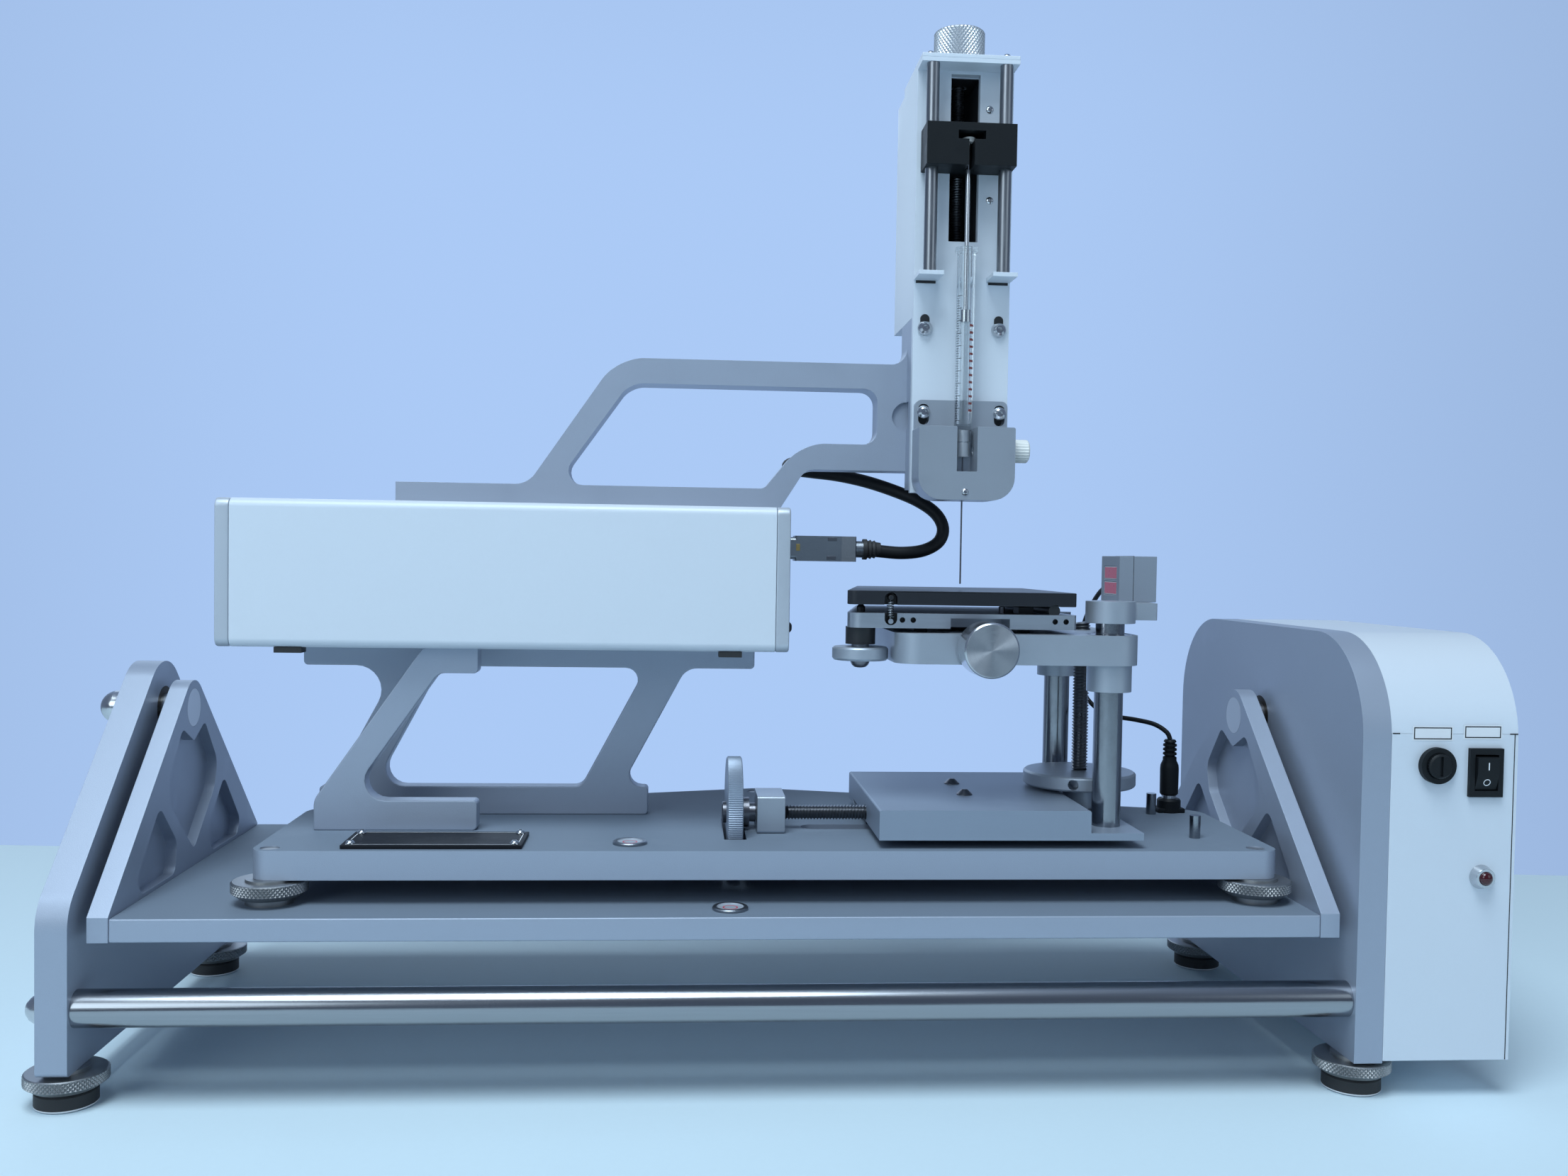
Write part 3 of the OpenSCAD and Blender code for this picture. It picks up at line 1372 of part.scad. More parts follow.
// Tension spring between the two pegs: straight ends, then curls of steady pitch
spring_d = 2.9;
spring_wire = 0.5;
spring_curls = 6;
spring_low = peg_low + peg_d / 2;
spring_high = peg_high - peg_d / 2;
spring_steps = 8 * spring_curls;
function spring_point(i) =
    let (
        end = 4,
        r = spring_d / 2 * min(1, i / end, (spring_steps - i) / end),
        z = spring_low + 0.7 + (spring_high - spring_low - 1.4) * i / spring_steps
    )
    [spring_x + r * cos(45 * i), table_front + 2.3 + r * sin(45 * i), z];
spring_path = [
    [spring_x, table_front + 2.3, spring_low],
    for (i = [0:spring_steps]) spring_point(i),
    [spring_x, table_front + 2.3, spring_high]
];
spring_gap = min([
    for (i = [0:len(spring_path) - 6], j = [i + 5:len(spring_path) - 1])
        norm(spring_path[i] - spring_path[j])
]) - spring_wire;
echo(spring_gap = spring_gap);
echo(lamp_lead_length = route_length(curve(lamp_route, 4)));
echo(drive_lead_length = route_length(curve(drive_route, 4)));
module table_spring() {
    color("silver") in_frame() tube_along(spring_path, spring_wire, 6);
}

module lamp_bracket() {
    color("lightgray") in_frame() difference() {
        union() {
            rod_z([post_x, post_ys[0], boss_z], boss_d, boss_h);
            slab_xy(lamp_plate_z, lamp_plate_t) polygon(rounded(
                [[post_x - boss_d / 2 + 0.6, post_ys[0]], [post_x + boss_d / 2 - 0.6, post_ys[0]],
                    [post_x + 15, post_ys[0] + 13], [lamp_x + lamp_w - lamp_nose, post_ys[0] + 13],
                    [lamp_x + lamp_w, axis_y + lamp_d / 2], [lamp_x, axis_y + lamp_d / 2]],
                [0, 0, 4, 1, 1, 1]));
        }
        rod_z([post_x, post_ys[0], boss_z - through], post_d, boss_h - boss_roof + through);
    }
}
module lamp_box() {
    recess = 0.5;
    color("silver") in_frame() difference() {
        block([lamp_x, axis_y - lamp_d / 2, lamp_z], [lamp_x + lamp_w, axis_y + lamp_d / 2, lamp_z + lamp_h]);
        for (i = [0, 1])
            translate([lamp_x - through, axis_y - lamp_window[0] / 2,
                lamp_z + 3 + i * (lamp_window[1] + 0.8)])
                cube([recess + through, lamp_window[0], lamp_window[1]]);
    }
}
module lamp_lead() {
    color("dimgray") in_frame() tube_along(curve(lamp_route, 4), lamp_lead_d, 8);
}
module drive_plug() {
    mid = [axis_y + 30, axis_z + 15];
    color("silver") in_frame() {
        slab_yz(housing_right, 8)
            polygon(box_outline([mid[0] - 8, mid[1] - 5.5], [mid[0] + 8, mid[1] + 5.5], 2));
        slab_xy(mid[1] - 6.3, 12.6) polygon(rounded(
            [[housing_right + 7, mid[0] - 8], [housing_right + 30, mid[0] - 8],
                [housing_right + 38, mid[0] - 5.5], [housing_right + 38, mid[0] + 5.5],
                [housing_right + 30, mid[0] + 8],
                [housing_right + 7, mid[0] + 8]], [1, 4, 1, 1, 4, 1]));
        rod_x([housing_right + 37, mid[0], mid[1]], 8.4, 5.4);
    }
}
module drive_lead() {
    color("dimgray") in_frame() tube_along(curve(drive_route, 3), drive_lead_d, 10);
}

left_plate();
right_plate();
tie_tubes();
cover_hood();
cover_tray();
panel_fittings();
fuse_cap();
switch_rocker();
tilt_gearmotor();
power_supply();
pivot_bushes();
foot_pads();
foot_wheel_front_left();
foot_wheel_front_right();
foot_wheel_rear_left();
foot_wheel_rear_right();
cradle_plate();
gussets();
pivot_pin();
drive_shaft();
base_plate();
base_wheel_left();
base_wheel_right();
base_wheel_rear();
stop_pins();
lamp_plug();
front_bracket();
rear_frame();
housing_shell();
housing_caps();
camera_unit();
upper_arm();
head_plate();
motor_cover();
stepper_motor();
guide_rods();
syringe_drive();
pusher_block();
plunger();
syringe_barrel();
needle();
clamp_block();
clamp_screw();
x_slide_base();
x_screw();
carriage();
posts();
z_screw();
stage_arm();
y_screw();
table_lower();
table_top();
level_wheel();
level_stud();
table_spring();
lamp_bracket();
lamp_box();
lamp_lead();
drive_plug();
drive_lead();
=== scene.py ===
# %% [markdown]
# # A contact angle goniometer
# The instrument puts a drop of liquid on a sample and looks at it from the side. A tilting cradle carries a
# camera housing, a motor-driven syringe head and a small stage. The solids come from the CAD model, which is
# loaded first and never changed. Blender adds the softened edges, knurls, threads, screws, leads and finishes.

# %% Load the frame
import json
import math

import bmesh
import bpy
from mathutils import Matrix, Vector


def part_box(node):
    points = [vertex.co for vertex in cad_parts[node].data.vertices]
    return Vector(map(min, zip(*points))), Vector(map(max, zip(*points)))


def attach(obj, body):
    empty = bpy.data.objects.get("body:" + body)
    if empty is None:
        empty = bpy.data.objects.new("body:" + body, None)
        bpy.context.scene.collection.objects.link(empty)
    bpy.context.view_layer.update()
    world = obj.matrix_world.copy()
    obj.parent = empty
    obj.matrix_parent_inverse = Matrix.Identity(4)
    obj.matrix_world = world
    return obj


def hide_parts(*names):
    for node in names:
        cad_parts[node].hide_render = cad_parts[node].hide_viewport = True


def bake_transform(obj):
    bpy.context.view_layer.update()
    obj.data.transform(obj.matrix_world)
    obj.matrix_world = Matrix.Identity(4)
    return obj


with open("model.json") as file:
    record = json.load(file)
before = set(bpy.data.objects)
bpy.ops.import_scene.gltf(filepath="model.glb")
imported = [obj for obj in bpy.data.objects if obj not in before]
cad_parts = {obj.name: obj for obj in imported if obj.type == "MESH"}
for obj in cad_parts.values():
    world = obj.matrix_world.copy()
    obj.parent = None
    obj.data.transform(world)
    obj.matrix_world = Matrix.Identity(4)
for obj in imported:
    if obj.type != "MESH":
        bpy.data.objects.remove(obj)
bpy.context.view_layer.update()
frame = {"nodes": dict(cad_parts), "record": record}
BODY_OF = {n: body for body, members in frame["record"]["behaviour"]["bodies"].items() for n in members}

# %% [markdown]
# The drawing datum is the middle of the tilt frame at the front edges of its end plates, on the bench.
# All places below are millimetres from there, so one small function turns them into the frame's metres.

# %% Datum and sizes
plate_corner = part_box("left_plate")[0]
DATUM = Vector((plate_corner.x + 0.2806, plate_corner.y, 0.0))
MM = 0.001


def at(x, y, z):
    return DATUM + Vector((x, y, z)) * MM


# Axes that several pieces share: X screw (y, z), lift screw, syringe, its drive screw and lamp plug (x, y)
X_AXIS, Z_AXIS, SYRINGE_AXIS, DRIVE_AXIS, PLUG_AXIS = (76, 110), (172, 93), (111.5, 95), (111.5, 123), (228, 122)
Y_KNOB = (110.6, 18.5, 190.8)
print("datum at", [round(v, 5) for v in DATUM])

# %% [markdown]
# The camera stands where the photographer stood: a little left of the middle, just above the cradle, looking
# slightly to the right and down. Its axes were worked out from the frame's straight edges.

# %% Camera
eye = bpy.data.cameras.new("photo_eye")
eye.sensor_width = 36.0
eye.lens = 31.703
eye.shift_x = 0.0026
eye.shift_y = 0.0079
eye.clip_start = 0.02
camera = bpy.data.objects.new("photo_camera", eye)
bpy.context.scene.collection.objects.link(camera)
look = Vector((0.07341, 0.99681, -0.03122)).normalized()
level = Vector((0.99721, -0.07294, 0.0158))
level = (level - look * level.dot(look)).normalized()
rise = level.cross(look)
turn = Matrix((level, rise, -look)).transposed()
camera.matrix_world = Matrix.Translation(at(-25.12, -568.69, 229.84)) @ turn.to_4x4()
bpy.context.scene.camera = camera
print("camera at", [round(v, 4) for v in camera.location])

# %% [markdown]
# The bench is a plain pale table top that ends behind the instrument, under soft light: one large lamp above and
# a little in front, and weaker ones at the left, the right and the back. The room behind is pale blue and grows
# dark at the sides and overhead, as a room does round a lit table, so that round steel mirrors both. Light Path
# keeps this picture of the room to the rays that see it: the light that the world gives stays an even weak blue.

# %% Bench, lamps and world
bpy.context.scene.view_settings.view_transform = "Standard"
bpy.ops.object.select_all(action="DESELECT")
rear_left, rear_right = at(-530, 524, -0.2), at(635, 418, -0.2)
rear_way = (rear_right - rear_left).normalized()
bench_size = 4.0
bench_middle = (rear_left + rear_right) / 2 + Vector((rear_way.y, -rear_way.x, 0)) * bench_size / 2
bpy.ops.mesh.primitive_plane_add(size=bench_size, location=bench_middle,
                                 rotation=(0, 0, math.atan2(rear_way.y, rear_way.x)))
bench = bpy.context.object
bench.name = "bench"

LAMP_TINT = (0.75, 0.90, 1.0)
EVEN_LIGHT, ROOM_DARK, ROOM_PALE = (0.58, 0.75, 1.0, 1), (0.05, 0.06, 0.08, 1), (0.41, 0.59, 0.92, 1)
# Name, place, aim and size in metres, power in watts
LAMPS = [
    ("key_lamp", (-0.35, -0.9, 2.2), (0, 0, 0.1), 1.3, 44), ("left_lamp", (-1.4, -1.9, 1.2), (0, 0, 0.2), 1.4, 13),
    ("right_lamp", (1.8, -1.6, 1.0), (0, 0, 0.2), 1.4, 5), ("back_lamp", (-0.6, 2.2, 1.4), (0, 0, 0.2), 1.6, 5),
]
for name, place, aim, size, watts in LAMPS:
    light = bpy.data.lights.new(name, "AREA")
    light.shape = "DISK"
    light.size = size
    light.energy = watts
    light.color = LAMP_TINT
    obj = bpy.data.objects.new(name, light)
    obj.location = place
    obj.rotation_euler = (Vector(aim) - Vector(place)).to_track_quat("-Z", "Y").to_euler()
    bpy.context.scene.collection.objects.link(obj)
world = bpy.data.worlds.new("studio")
bpy.context.scene.world = world
world.use_nodes = True
sky = world.node_tree
even_light = sky.nodes["Background"]
even_light.inputs["Color"].default_value = EVEN_LIGHT


def sky_math(operation, first, second):
    node = sky.nodes.new("ShaderNodeMath")
    node.operation = operation
    sky.links.new(first, node.inputs[0])
    if isinstance(second, float):
        node.inputs[1].default_value = second
    elif second is not None:
        sky.links.new(second, node.inputs[1])
    return node.outputs[0]


def fade(value, start, end, low):
    """From 1 at `start` down to `low` at `end`."""
    node = sky.nodes.new("ShaderNodeMapRange")
    node.interpolation_type = "SMOOTHSTEP"
    sky.links.new(value, node.inputs["Value"])
    for label, number in (("From Min", start), ("From Max", end), ("To Min", 1.0), ("To Max", low)):
        node.inputs[label].default_value = number
    return node.outputs["Result"]


way = sky.nodes.new("ShaderNodeSeparateXYZ")
sky.links.new(sky.nodes.new("ShaderNodeTexCoord").outputs["Generated"], way.inputs[0])
rays = sky.nodes.new("ShaderNodeLightPath").outputs
across = sky_math("ABSOLUTE", way.outputs["X"], None)
aside = sky_math("MULTIPLY", fade(across, 0.15, 0.95, 0.6),
                 fade(sky_math("MULTIPLY", across, rays["Is Glossy Ray"]), 0.15, 0.95, 0.42))
overhead = fade(way.outputs["Z"], 0.25, 0.95, 0.45)
sky.links.new(sky_math("MULTIPLY", overhead, 0.30), even_light.inputs["Strength"])
front = fade(sky_math("MULTIPLY", way.outputs["Y"], rays["Is Glossy Ray"]), -0.1, -0.9, 0.18)
room = sky.nodes.new("ShaderNodeMix")
room.data_type = "RGBA"
room_sockets = [s for s in room.inputs if s.type == "RGBA"]
room_sockets[0].default_value = ROOM_DARK
room_sockets[1].default_value = ROOM_PALE
sky.links.new(sky_math("MULTIPLY", sky_math("MULTIPLY", aside, overhead), front), room.inputs["Factor"])
seen = sky.nodes.new("ShaderNodeBackground")
sky.links.new([s for s in room.outputs if s.type == "RGBA"][0], seen.inputs["Color"])
looks = sky_math("MAXIMUM", rays["Is Camera Ray"], rays["Is Glossy Ray"])
looks = sky_math("MAXIMUM", looks, rays["Is Transmission Ray"])
both = sky.nodes.new("ShaderNodeMixShader")
sky.links.new(looks, both.inputs[0])
sky.links.new(even_light.outputs[0], both.inputs[1])
sky.links.new(seen.outputs[0], both.inputs[2])
sky.links.new(both.outputs[0], sky.nodes["World Output"].inputs["Surface"])
print("lamps:", len(LAMPS))

# %% [markdown]
# Every finish starts from two effects. One is a fine grain with slow clouds, as on blasted, cast or sprayed
# surfaces. The other is a set of fine lines, as tools leave them on drawn, ground or turned metal. Both are node
# groups that read object coordinates in metres, so a millimetre is the same on each piece.

# %% Shared effects
def new_group(name, inputs, outputs):
    group = bpy.data.node_groups.new(name, "ShaderNodeTree")
    for label, kind, value in inputs:
        socket = group.interface.new_socket(label, in_out="INPUT", socket_type=kind)
        if value is not None:
            socket.default_value = value
    for label in outputs:
        group.interface.new_socket(label, in_out="OUTPUT", socket_type="NodeSocketFloat")
    return group, group.nodes.new("NodeGroupInput"), group.nodes.new("NodeGroupOutput")


def noise(tree, vector, scale, detail, rough=0.55):
    node = tree.nodes.new("ShaderNodeTexNoise")
    tree.links.new(vector, node.inputs["Vector"])
    tree.links.new(scale, node.inputs["Scale"])
    node.inputs["Detail"].default_value = detail
    node.inputs["Roughness"].default_value = rough
    return node.outputs["Fac"]


def times(tree, value, factor):
    node = tree.nodes.new("ShaderNodeMath")
    node.operation = "MULTIPLY"
    node.inputs[1].default_value = factor
    tree.links.new(value, node.inputs[0])
    return node.outputs[0]


MARKS_PER_CLOUD, BROAD_PER_LINE = 3.7, 0.12
grain_group, g_in, g_out = new_group(
    "grain_and_cloud",
    [("Vector", "NodeSocketVector", None), ("Grain Scale", "NodeSocketFloat", 2500.0),
     ("Cloud Scale", "NodeSocketFloat", 18.0)],
    ["Grain", "Cloud", "Marks"])
g_vec = g_in.outputs["Vector"]
grain_group.links.new(noise(grain_group, g_vec, g_in.outputs["Grain Scale"], 3), g_out.inputs["Grain"])
grain_group.links.new(noise(grain_group, g_vec, g_in.outputs["Cloud Scale"], 4), g_out.inputs["Cloud"])
marks = grain_group.nodes.new("ShaderNodeMapRange")
marks_scale = times(grain_group, g_in.outputs["Cloud Scale"], MARKS_PER_CLOUD)
grain_group.links.new(noise(grain_group, g_vec, marks_scale, 5, 0.65), marks.inputs["Value"])
marks.inputs["From Min"].default_value = 0.56
marks.inputs["From Max"].default_value = 0.72
grain_group.links.new(marks.outputs["Result"], g_out.inputs["Marks"])

lines_group, l_in, l_out = new_group(
    "tool_lines",
    [("Vector", "NodeSocketVector", None), ("Stretch", "NodeSocketVector", (1.0, 1.0, 1.0)),
     ("Scale", "NodeSocketFloat", 900.0)],
    ["Lines", "Broad"])
l_map = lines_group.nodes.new("ShaderNodeVectorMath")
l_map.operation = "MULTIPLY"
lines_group.links.new(l_in.outputs["Vector"], l_map.inputs[0])
lines_group.links.new(l_in.outputs["Stretch"], l_map.inputs[1])
lines_group.links.new(noise(lines_group, l_map.outputs[0], l_in.outputs["Scale"], 2), l_out.inputs["Lines"])
l_slow = times(lines_group, l_in.outputs["Scale"], BROAD_PER_LINE)
lines_group.links.new(noise(lines_group, l_map.outputs[0], l_slow, 3), l_out.inputs["Broad"])
print("node groups:", [g.name for g in bpy.data.node_groups])

# %% [markdown]
# A finish is then a Principled shader with one of these effects on its colour, roughness and bump. Painted,
# moulded and blasted surfaces use the grain. Drawn, ground and turned ones use the lines, stretched along the
# way the tool went.

# %% Finishes
def bare_finish(name, metallic, **sockets):
    material = bpy.data.materials.new(name)
    material.use_nodes = True
    shader = material.node_tree.nodes["Principled BSDF"]
    shader.inputs["Metallic"].default_value = metallic
    for label, value in sockets.items():
        shader.inputs[label.replace("_", " ")].default_value = value
    return material, material.node_tree, shader


def spread(tree, value, low, high):
    node = tree.nodes.new("ShaderNodeMapRange")
    tree.links.new(value, node.inputs["Value"])
    node.inputs["From Min"].default_value = 0.25
    node.inputs["From Max"].default_value = 0.75
    node.inputs["To Min"].default_value = low
    node.inputs["To Max"].default_value = high
    return node.outputs["Result"]


def tint(tree, factor, first, second):
    node = tree.nodes.new("ShaderNodeMix")
    node.data_type = "RGBA"
    if isinstance(factor, float):
        node.inputs["Factor"].default_value = factor
    else:
        tree.links.new(factor, node.inputs["Factor"])
    sockets = [s for s in node.inputs if s.type == "RGBA"]
    for socket, colour in zip(sockets, (first, second)):
        if isinstance(colour, tuple):
            socket.default_value = colour + (1,)
        else:
            tree.links.new(colour, socket)
    return [s for s in node.outputs if s.type == "RGBA"][0]


def bump(tree, shader, height, strength, distance):
    node = tree.nodes.new("ShaderNodeBump")
    node.inputs["Strength"].default_value = strength
    node.inputs["Distance"].default_value = distance
    tree.links.new(height, node.inputs["Height"])
    tree.links.new(node.outputs["Normal"], shader.inputs["Normal"])


def shade(colour, factor):
    return tuple(min(1.0, c * factor) for c in colour)


def effect_on(tree, group, **values):
    """The outputs of a shared effect on object coordinates."""
    effect = tree.nodes.new("ShaderNodeGroup")
    effect.node_tree = group
    for label, value in values.items():
        effect.inputs[label.replace("_", " ")].default_value = value
    tree.links.new(tree.nodes.new("ShaderNodeTexCoord").outputs["Object"], effect.inputs["Vector"])
    return effect.outputs


SPECK_SHARE, HANDLED_SHINE = 0.4, -0.07


def grained(name, colour, rough, metallic=0.0, grain=2500.0, cloud=18.0, depth=0.15, vary=0.06, **sockets):
    material, tree, shader = bare_finish(name, metallic, **sockets)
    effect = effect_on(tree, grain_group, Grain_Scale=grain, Cloud_Scale=cloud)
    body = tint(tree, effect["Cloud"], shade(colour, 1 - vary), shade(colour, 1 + vary))
    speck = tint(tree, effect["Grain"], shade(colour, 1 - 1.6 * vary), shade(colour, 1 + 1.2 * vary))
    tree.links.new(tint(tree, SPECK_SHARE, body, speck), shader.inputs["Base Color"])
    handled = tree.nodes.new("ShaderNodeMath")
    handled.operation = "MULTIPLY_ADD"
    handled.inputs[1].default_value = HANDLED_SHINE
    tree.links.new(effect["Marks"], handled.inputs[0])
    tree.links.new(spread(tree, effect["Cloud"], rough - 0.04, rough + 0.05), handled.inputs[2])
    tree.links.new(handled.outputs[0], shader.inputs["Roughness"])
    bump(tree, shader, effect["Grain"], depth, 0.0004)
    return material


def lined(name, colour, rough, stretch, scale=900.0, depth=0.1, metallic=1.0, vary=0.07, **sockets):
    material, tree, shader = bare_finish(name, metallic, **sockets)
    effect = effect_on(tree, lines_group, Stretch=stretch, Scale=scale)
    body = tint(tree, effect["Lines"], shade(colour, 1 - vary), shade(colour, 1 + vary))
    tree.links.new(body, shader.inputs["Base Color"])
    tree.links.new(spread(tree, effect["Broad"], rough - 0.05, rough + 0.08), shader.inputs["Roughness"])
    bump(tree, shader, effect["Lines"], depth, 0.0002)
    return material


def turned_finish(name, colour, rough, centre, axis):
    """Rings round an axis: fine lines that depend only on the distance from it."""
    material, tree, shader = bare_finish(name, 1.0)
    place = tree.nodes.new("ShaderNodeTexCoord").outputs["Object"]

    def step(operation, first, second=None):
        node = tree.nodes.new("ShaderNodeVectorMath")
        node.operation = operation
        tree.links.new(first, node.inputs[0])
        if second is not None:
            node.inputs[1].default_value = second
        return node.outputs["Value" if operation == "LENGTH" else "Vector"]

    flat = step("MULTIPLY", step("SUBTRACT", place, centre), tuple(0.0 if i == axis else 1.0 for i in range(3)))
    rings = tree.nodes.new("ShaderNodeTexNoise")
    rings.noise_dimensions = "1D"
    rings.inputs["Scale"].default_value = 3200.0
    rings.inputs["Detail"].default_value = 2.0
    tree.links.new(step("LENGTH", flat), rings.inputs["W"])
    tree.links.new(tint(tree, rings.outputs["Fac"], shade(colour, 0.88), shade(colour, 1.1)),
                   shader.inputs["Base Color"])
    tree.links.new(spread(tree, rings.outputs["Fac"], rough - 0.05, rough + 0.08), shader.inputs["Roughness"])
    bump(tree, shader, rings.outputs["Fac"], 0.22, 0.0002)
    around = tree.nodes.new("ShaderNodeTangent")
    around.direction_type = "RADIAL"
    around.axis = "XYZ"[axis]
    tree.links.new(around.outputs["Tangent"], shader.inputs["Tangent"])
    shader.inputs["Anisotropic"].default_value = 0.95
    return material


BLASTED = {"grain": 2600, "cloud": 9, "depth": 0.16, "vary": 0.05}
blasted = grained("blasted_aluminium", (0.375, 0.42, 0.51), 0.46, metallic=0.45, **BLASTED)
carriage_grey = grained("carriage_aluminium", (0.29, 0.34, 0.42), 0.46, metallic=0.45, **BLASTED)
# painted shade: a darker, duller copy of the blasted grey, so that the tops of the base and the cradle read darker
# than their lit front edges
top_shade_grey = grained("top_shade_aluminium", (0.20, 0.245, 0.31), 0.66, metallic=0.1, Specular_IOR_Level=0.2, **BLASTED)
stage_grey = grained("stage_aluminium", (0.41, 0.45, 0.51), 0.40, metallic=0.6, grain=3000, cloud=14, depth=0.12)
enamel = grained("white_enamel", (0.66, 0.71, 0.78), 0.36, grain=700, cloud=6, depth=0.05, vary=0.018)
cap_grey = grained("silver_enamel", (0.50, 0.54, 0.60), 0.42, metallic=0.35, grain=2200, cloud=12, depth=0.10)
steel_x = lined("drawn_tube_steel", (0.36, 0.37, 0.39), 0.19, (0.02, 1, 1), 1400, 0.10)
steel_z = lined("ground_rod_steel", (0.28, 0.295, 0.32), 0.17, (1, 1, 0.6), 1600, 0.06)
bright = lined("bright_steel", (0.60, 0.61, 0.63), 0.20, (1, 1, 1), 1200, 0.05)
knurled = grained("knurled_metal", (0.37, 0.375, 0.38), 0.42, metallic=1.0, grain=1800, cloud=40, depth=0.08)
milled = lined("milled_aluminium", (0.44, 0.47, 0.52), 0.33, (0.06, 1, 1), 1100, 0.14, metallic=0.9)
black_moulded = grained("black_moulded", (0.022, 0.023, 0.026), 0.45, grain=1800, cloud=30, depth=0.10, vary=0.12)
black_anodised = grained("black_anodised", (0.028, 0.030, 0.036), 0.40, metallic=0.4, grain=2600, cloud=14,
                         depth=0.14, vary=0.12)
dark_oxide = lined("dark_oxide_steel", (0.19, 0.19, 0.21), 0.34, (1, 1, 1), 900, 0.10)
table_black = grained("table_black", (0.020, 0.022, 0.028), 0.36, metallic=0.3, grain=2600, cloud=14, depth=0.12,
                      vary=0.10)
lamp_grey = grained("lamp_paint", (0.25, 0.285, 0.34), 0.55, metallic=0.1, grain=2000, cloud=20, depth=0.12, vary=0.05)
dark_glass = grained("lens_glass", (0.012, 0.014, 0.022), 0.07, grain=900, cloud=60, depth=0.02, vary=0.2,
                     Coat_Weight=1.0)
gold = lined("gold_plate", (0.60, 0.42, 0.16), 0.28, (1, 1, 1), 1200, 0.05)
rubber = grained("foot_rubber", (0.022, 0.022, 0.024), 0.62, grain=1500, cloud=25, depth=0.20, vary=0.15)
jacket = grained("lead_jacket", (0.010, 0.011, 0.013), 0.50, grain=1600, cloud=60, depth=0.12, vary=0.12,
                 Specular_IOR_Level=0.25)
nickel = grained("nickel_hood", (0.28, 0.30, 0.33), 0.36, metallic=1.0, grain=900, cloud=50, depth=0.14)
bronze = lined("bush_bronze", (0.06, 0.048, 0.035), 0.48, (1, 0.1, 0.1), 1100, 0.10)
nylon = grained("white_nylon", (0.80, 0.80, 0.77), 0.42, grain=900, cloud=60, depth=0.08, vary=0.03)
ink = grained("black_ink", (0.015, 0.015, 0.017), 0.5, grain=3000, cloud=80, depth=0.05, vary=0.2)
label_card = grained("label_card", (0.78, 0.79, 0.82), 0.5, grain=2200, cloud=60, depth=0.06, vary=0.03)
red_window = grained("red_window", (0.60, 0.04, 0.08), 0.30, grain=1500, cloud=120, depth=0.06, vary=0.12)
red_lens = grained("indicator_lens", (0.055, 0.004, 0.007), 0.16, grain=900, cloud=150, depth=0.03, vary=0.2,
                   Coat_Weight=0.3)
plate_black = grained("blank_plate_black", (0.012, 0.013, 0.017), 0.48, grain=1200, cloud=40, depth=0.05, vary=0.15,
                      Specular_IOR_Level=0.12)
deep_black = grained("pusher_black", (0.007, 0.009, 0.011), 0.50, grain=1800, cloud=30, depth=0.10, vary=0.15,
                     Specular_IOR_Level=0.25)
knob_metal = grained("knob_metal", (0.62, 0.64, 0.67), 0.44, metallic=0.85, grain=1800, cloud=40, depth=0.08)
rod_steel = lined("guide_rod_steel", (0.30, 0.31, 0.33), 0.34, (1, 1, 0.15), 1600, 0.08)
thread_steel = lined("thread_steel", (0.22, 0.225, 0.24), 0.30, (1, 1, 1), 900, 0.08)
scale_red = grained("scale_red", (0.20, 0.045, 0.045), 0.5, grain=3000, cloud=80, depth=0.05, vary=0.2)
glass, glass_tree, glass_shader = bare_finish("syringe_glass", 0.0, Transmission_Weight=1.0, IOR=1.47)
glass_cloud = effect_on(glass_tree, grain_group)["Cloud"]
glass_tree.links.new(tint(glass_tree, glass_cloud, (0.93, 0.96, 0.97), (0.97, 0.99, 0.99)),
                     glass_shader.inputs["Base Color"])
glass_tree.links.new(spread(glass_tree, glass_cloud, 0.0, 0.03), glass_shader.inputs["Roughness"])
bench.data.materials.append(
    grained("bench_sheet", (0.70, 0.84, 0.92), 0.75, grain=300, cloud=2.5, depth=0.05, vary=0.02))
print("finishes:", len(bpy.data.materials))

# %% [markdown]
# A few helpers keep the modelling short. `rest` leaves edit mode with nothing selected, because an operator
# acts on all that is selected. `pick` selects faces by a test on their middle and normal. `done` writes the
# place into the mesh, so that the object sits at the origin, and gives the piece its finish and its body.

# %% Modelling helpers
def rest():
    if bpy.context.mode != "OBJECT":
        bpy.ops.object.mode_set(mode="OBJECT")
    bpy.ops.object.select_all(action="DESELECT")


def only(obj):
    rest()
    obj.select_set(True)
    bpy.context.view_layer.objects.active = obj


def edit(obj):
    """Edit mode with points to select and none selected."""
    only(obj)
    bpy.ops.object.mode_set(mode="EDIT")
    bpy.ops.mesh.select_mode(type="VERT")
    bpy.ops.mesh.select_all(action="DESELECT")
    return bmesh.from_edit_mesh(obj.data)


def outward():
    """All normals point out, and edit mode ends."""
    bpy.ops.mesh.select_all(action="SELECT")
    bpy.ops.mesh.normals_make_consistent(inside=False)
    rest()


def pick(obj, test):
    if bpy.context.mode != "EDIT_MESH":
        only(obj)
        bpy.ops.object.mode_set(mode="EDIT")
    bpy.ops.mesh.select_mode(type="FACE")
    bpy.ops.mesh.select_all(action="DESELECT")
    mesh = bmesh.from_edit_mesh(obj.data)
    mesh.normal_update()
    chosen = [f for f in mesh.faces if test(f.calc_center_median(), f.normal)]
    for face in chosen:
        face.select_set(True)
    mesh.select_flush_mode()
    bmesh.update_edit_mesh(obj.data)
    return len(chosen)


def settle(obj):
    """The place, turn and size go into the mesh."""
    only(obj)
    bpy.ops.object.transform_apply(location=True, rotation=True, scale=True)


def modified(obj, kind, **values):
    only(obj)
    modifier = obj.modifiers.new(kind.lower(), kind)
    for label, value in values.items():
        setattr(modifier, label, value)
    bpy.ops.object.modifier_apply(modifier=modifier.name)


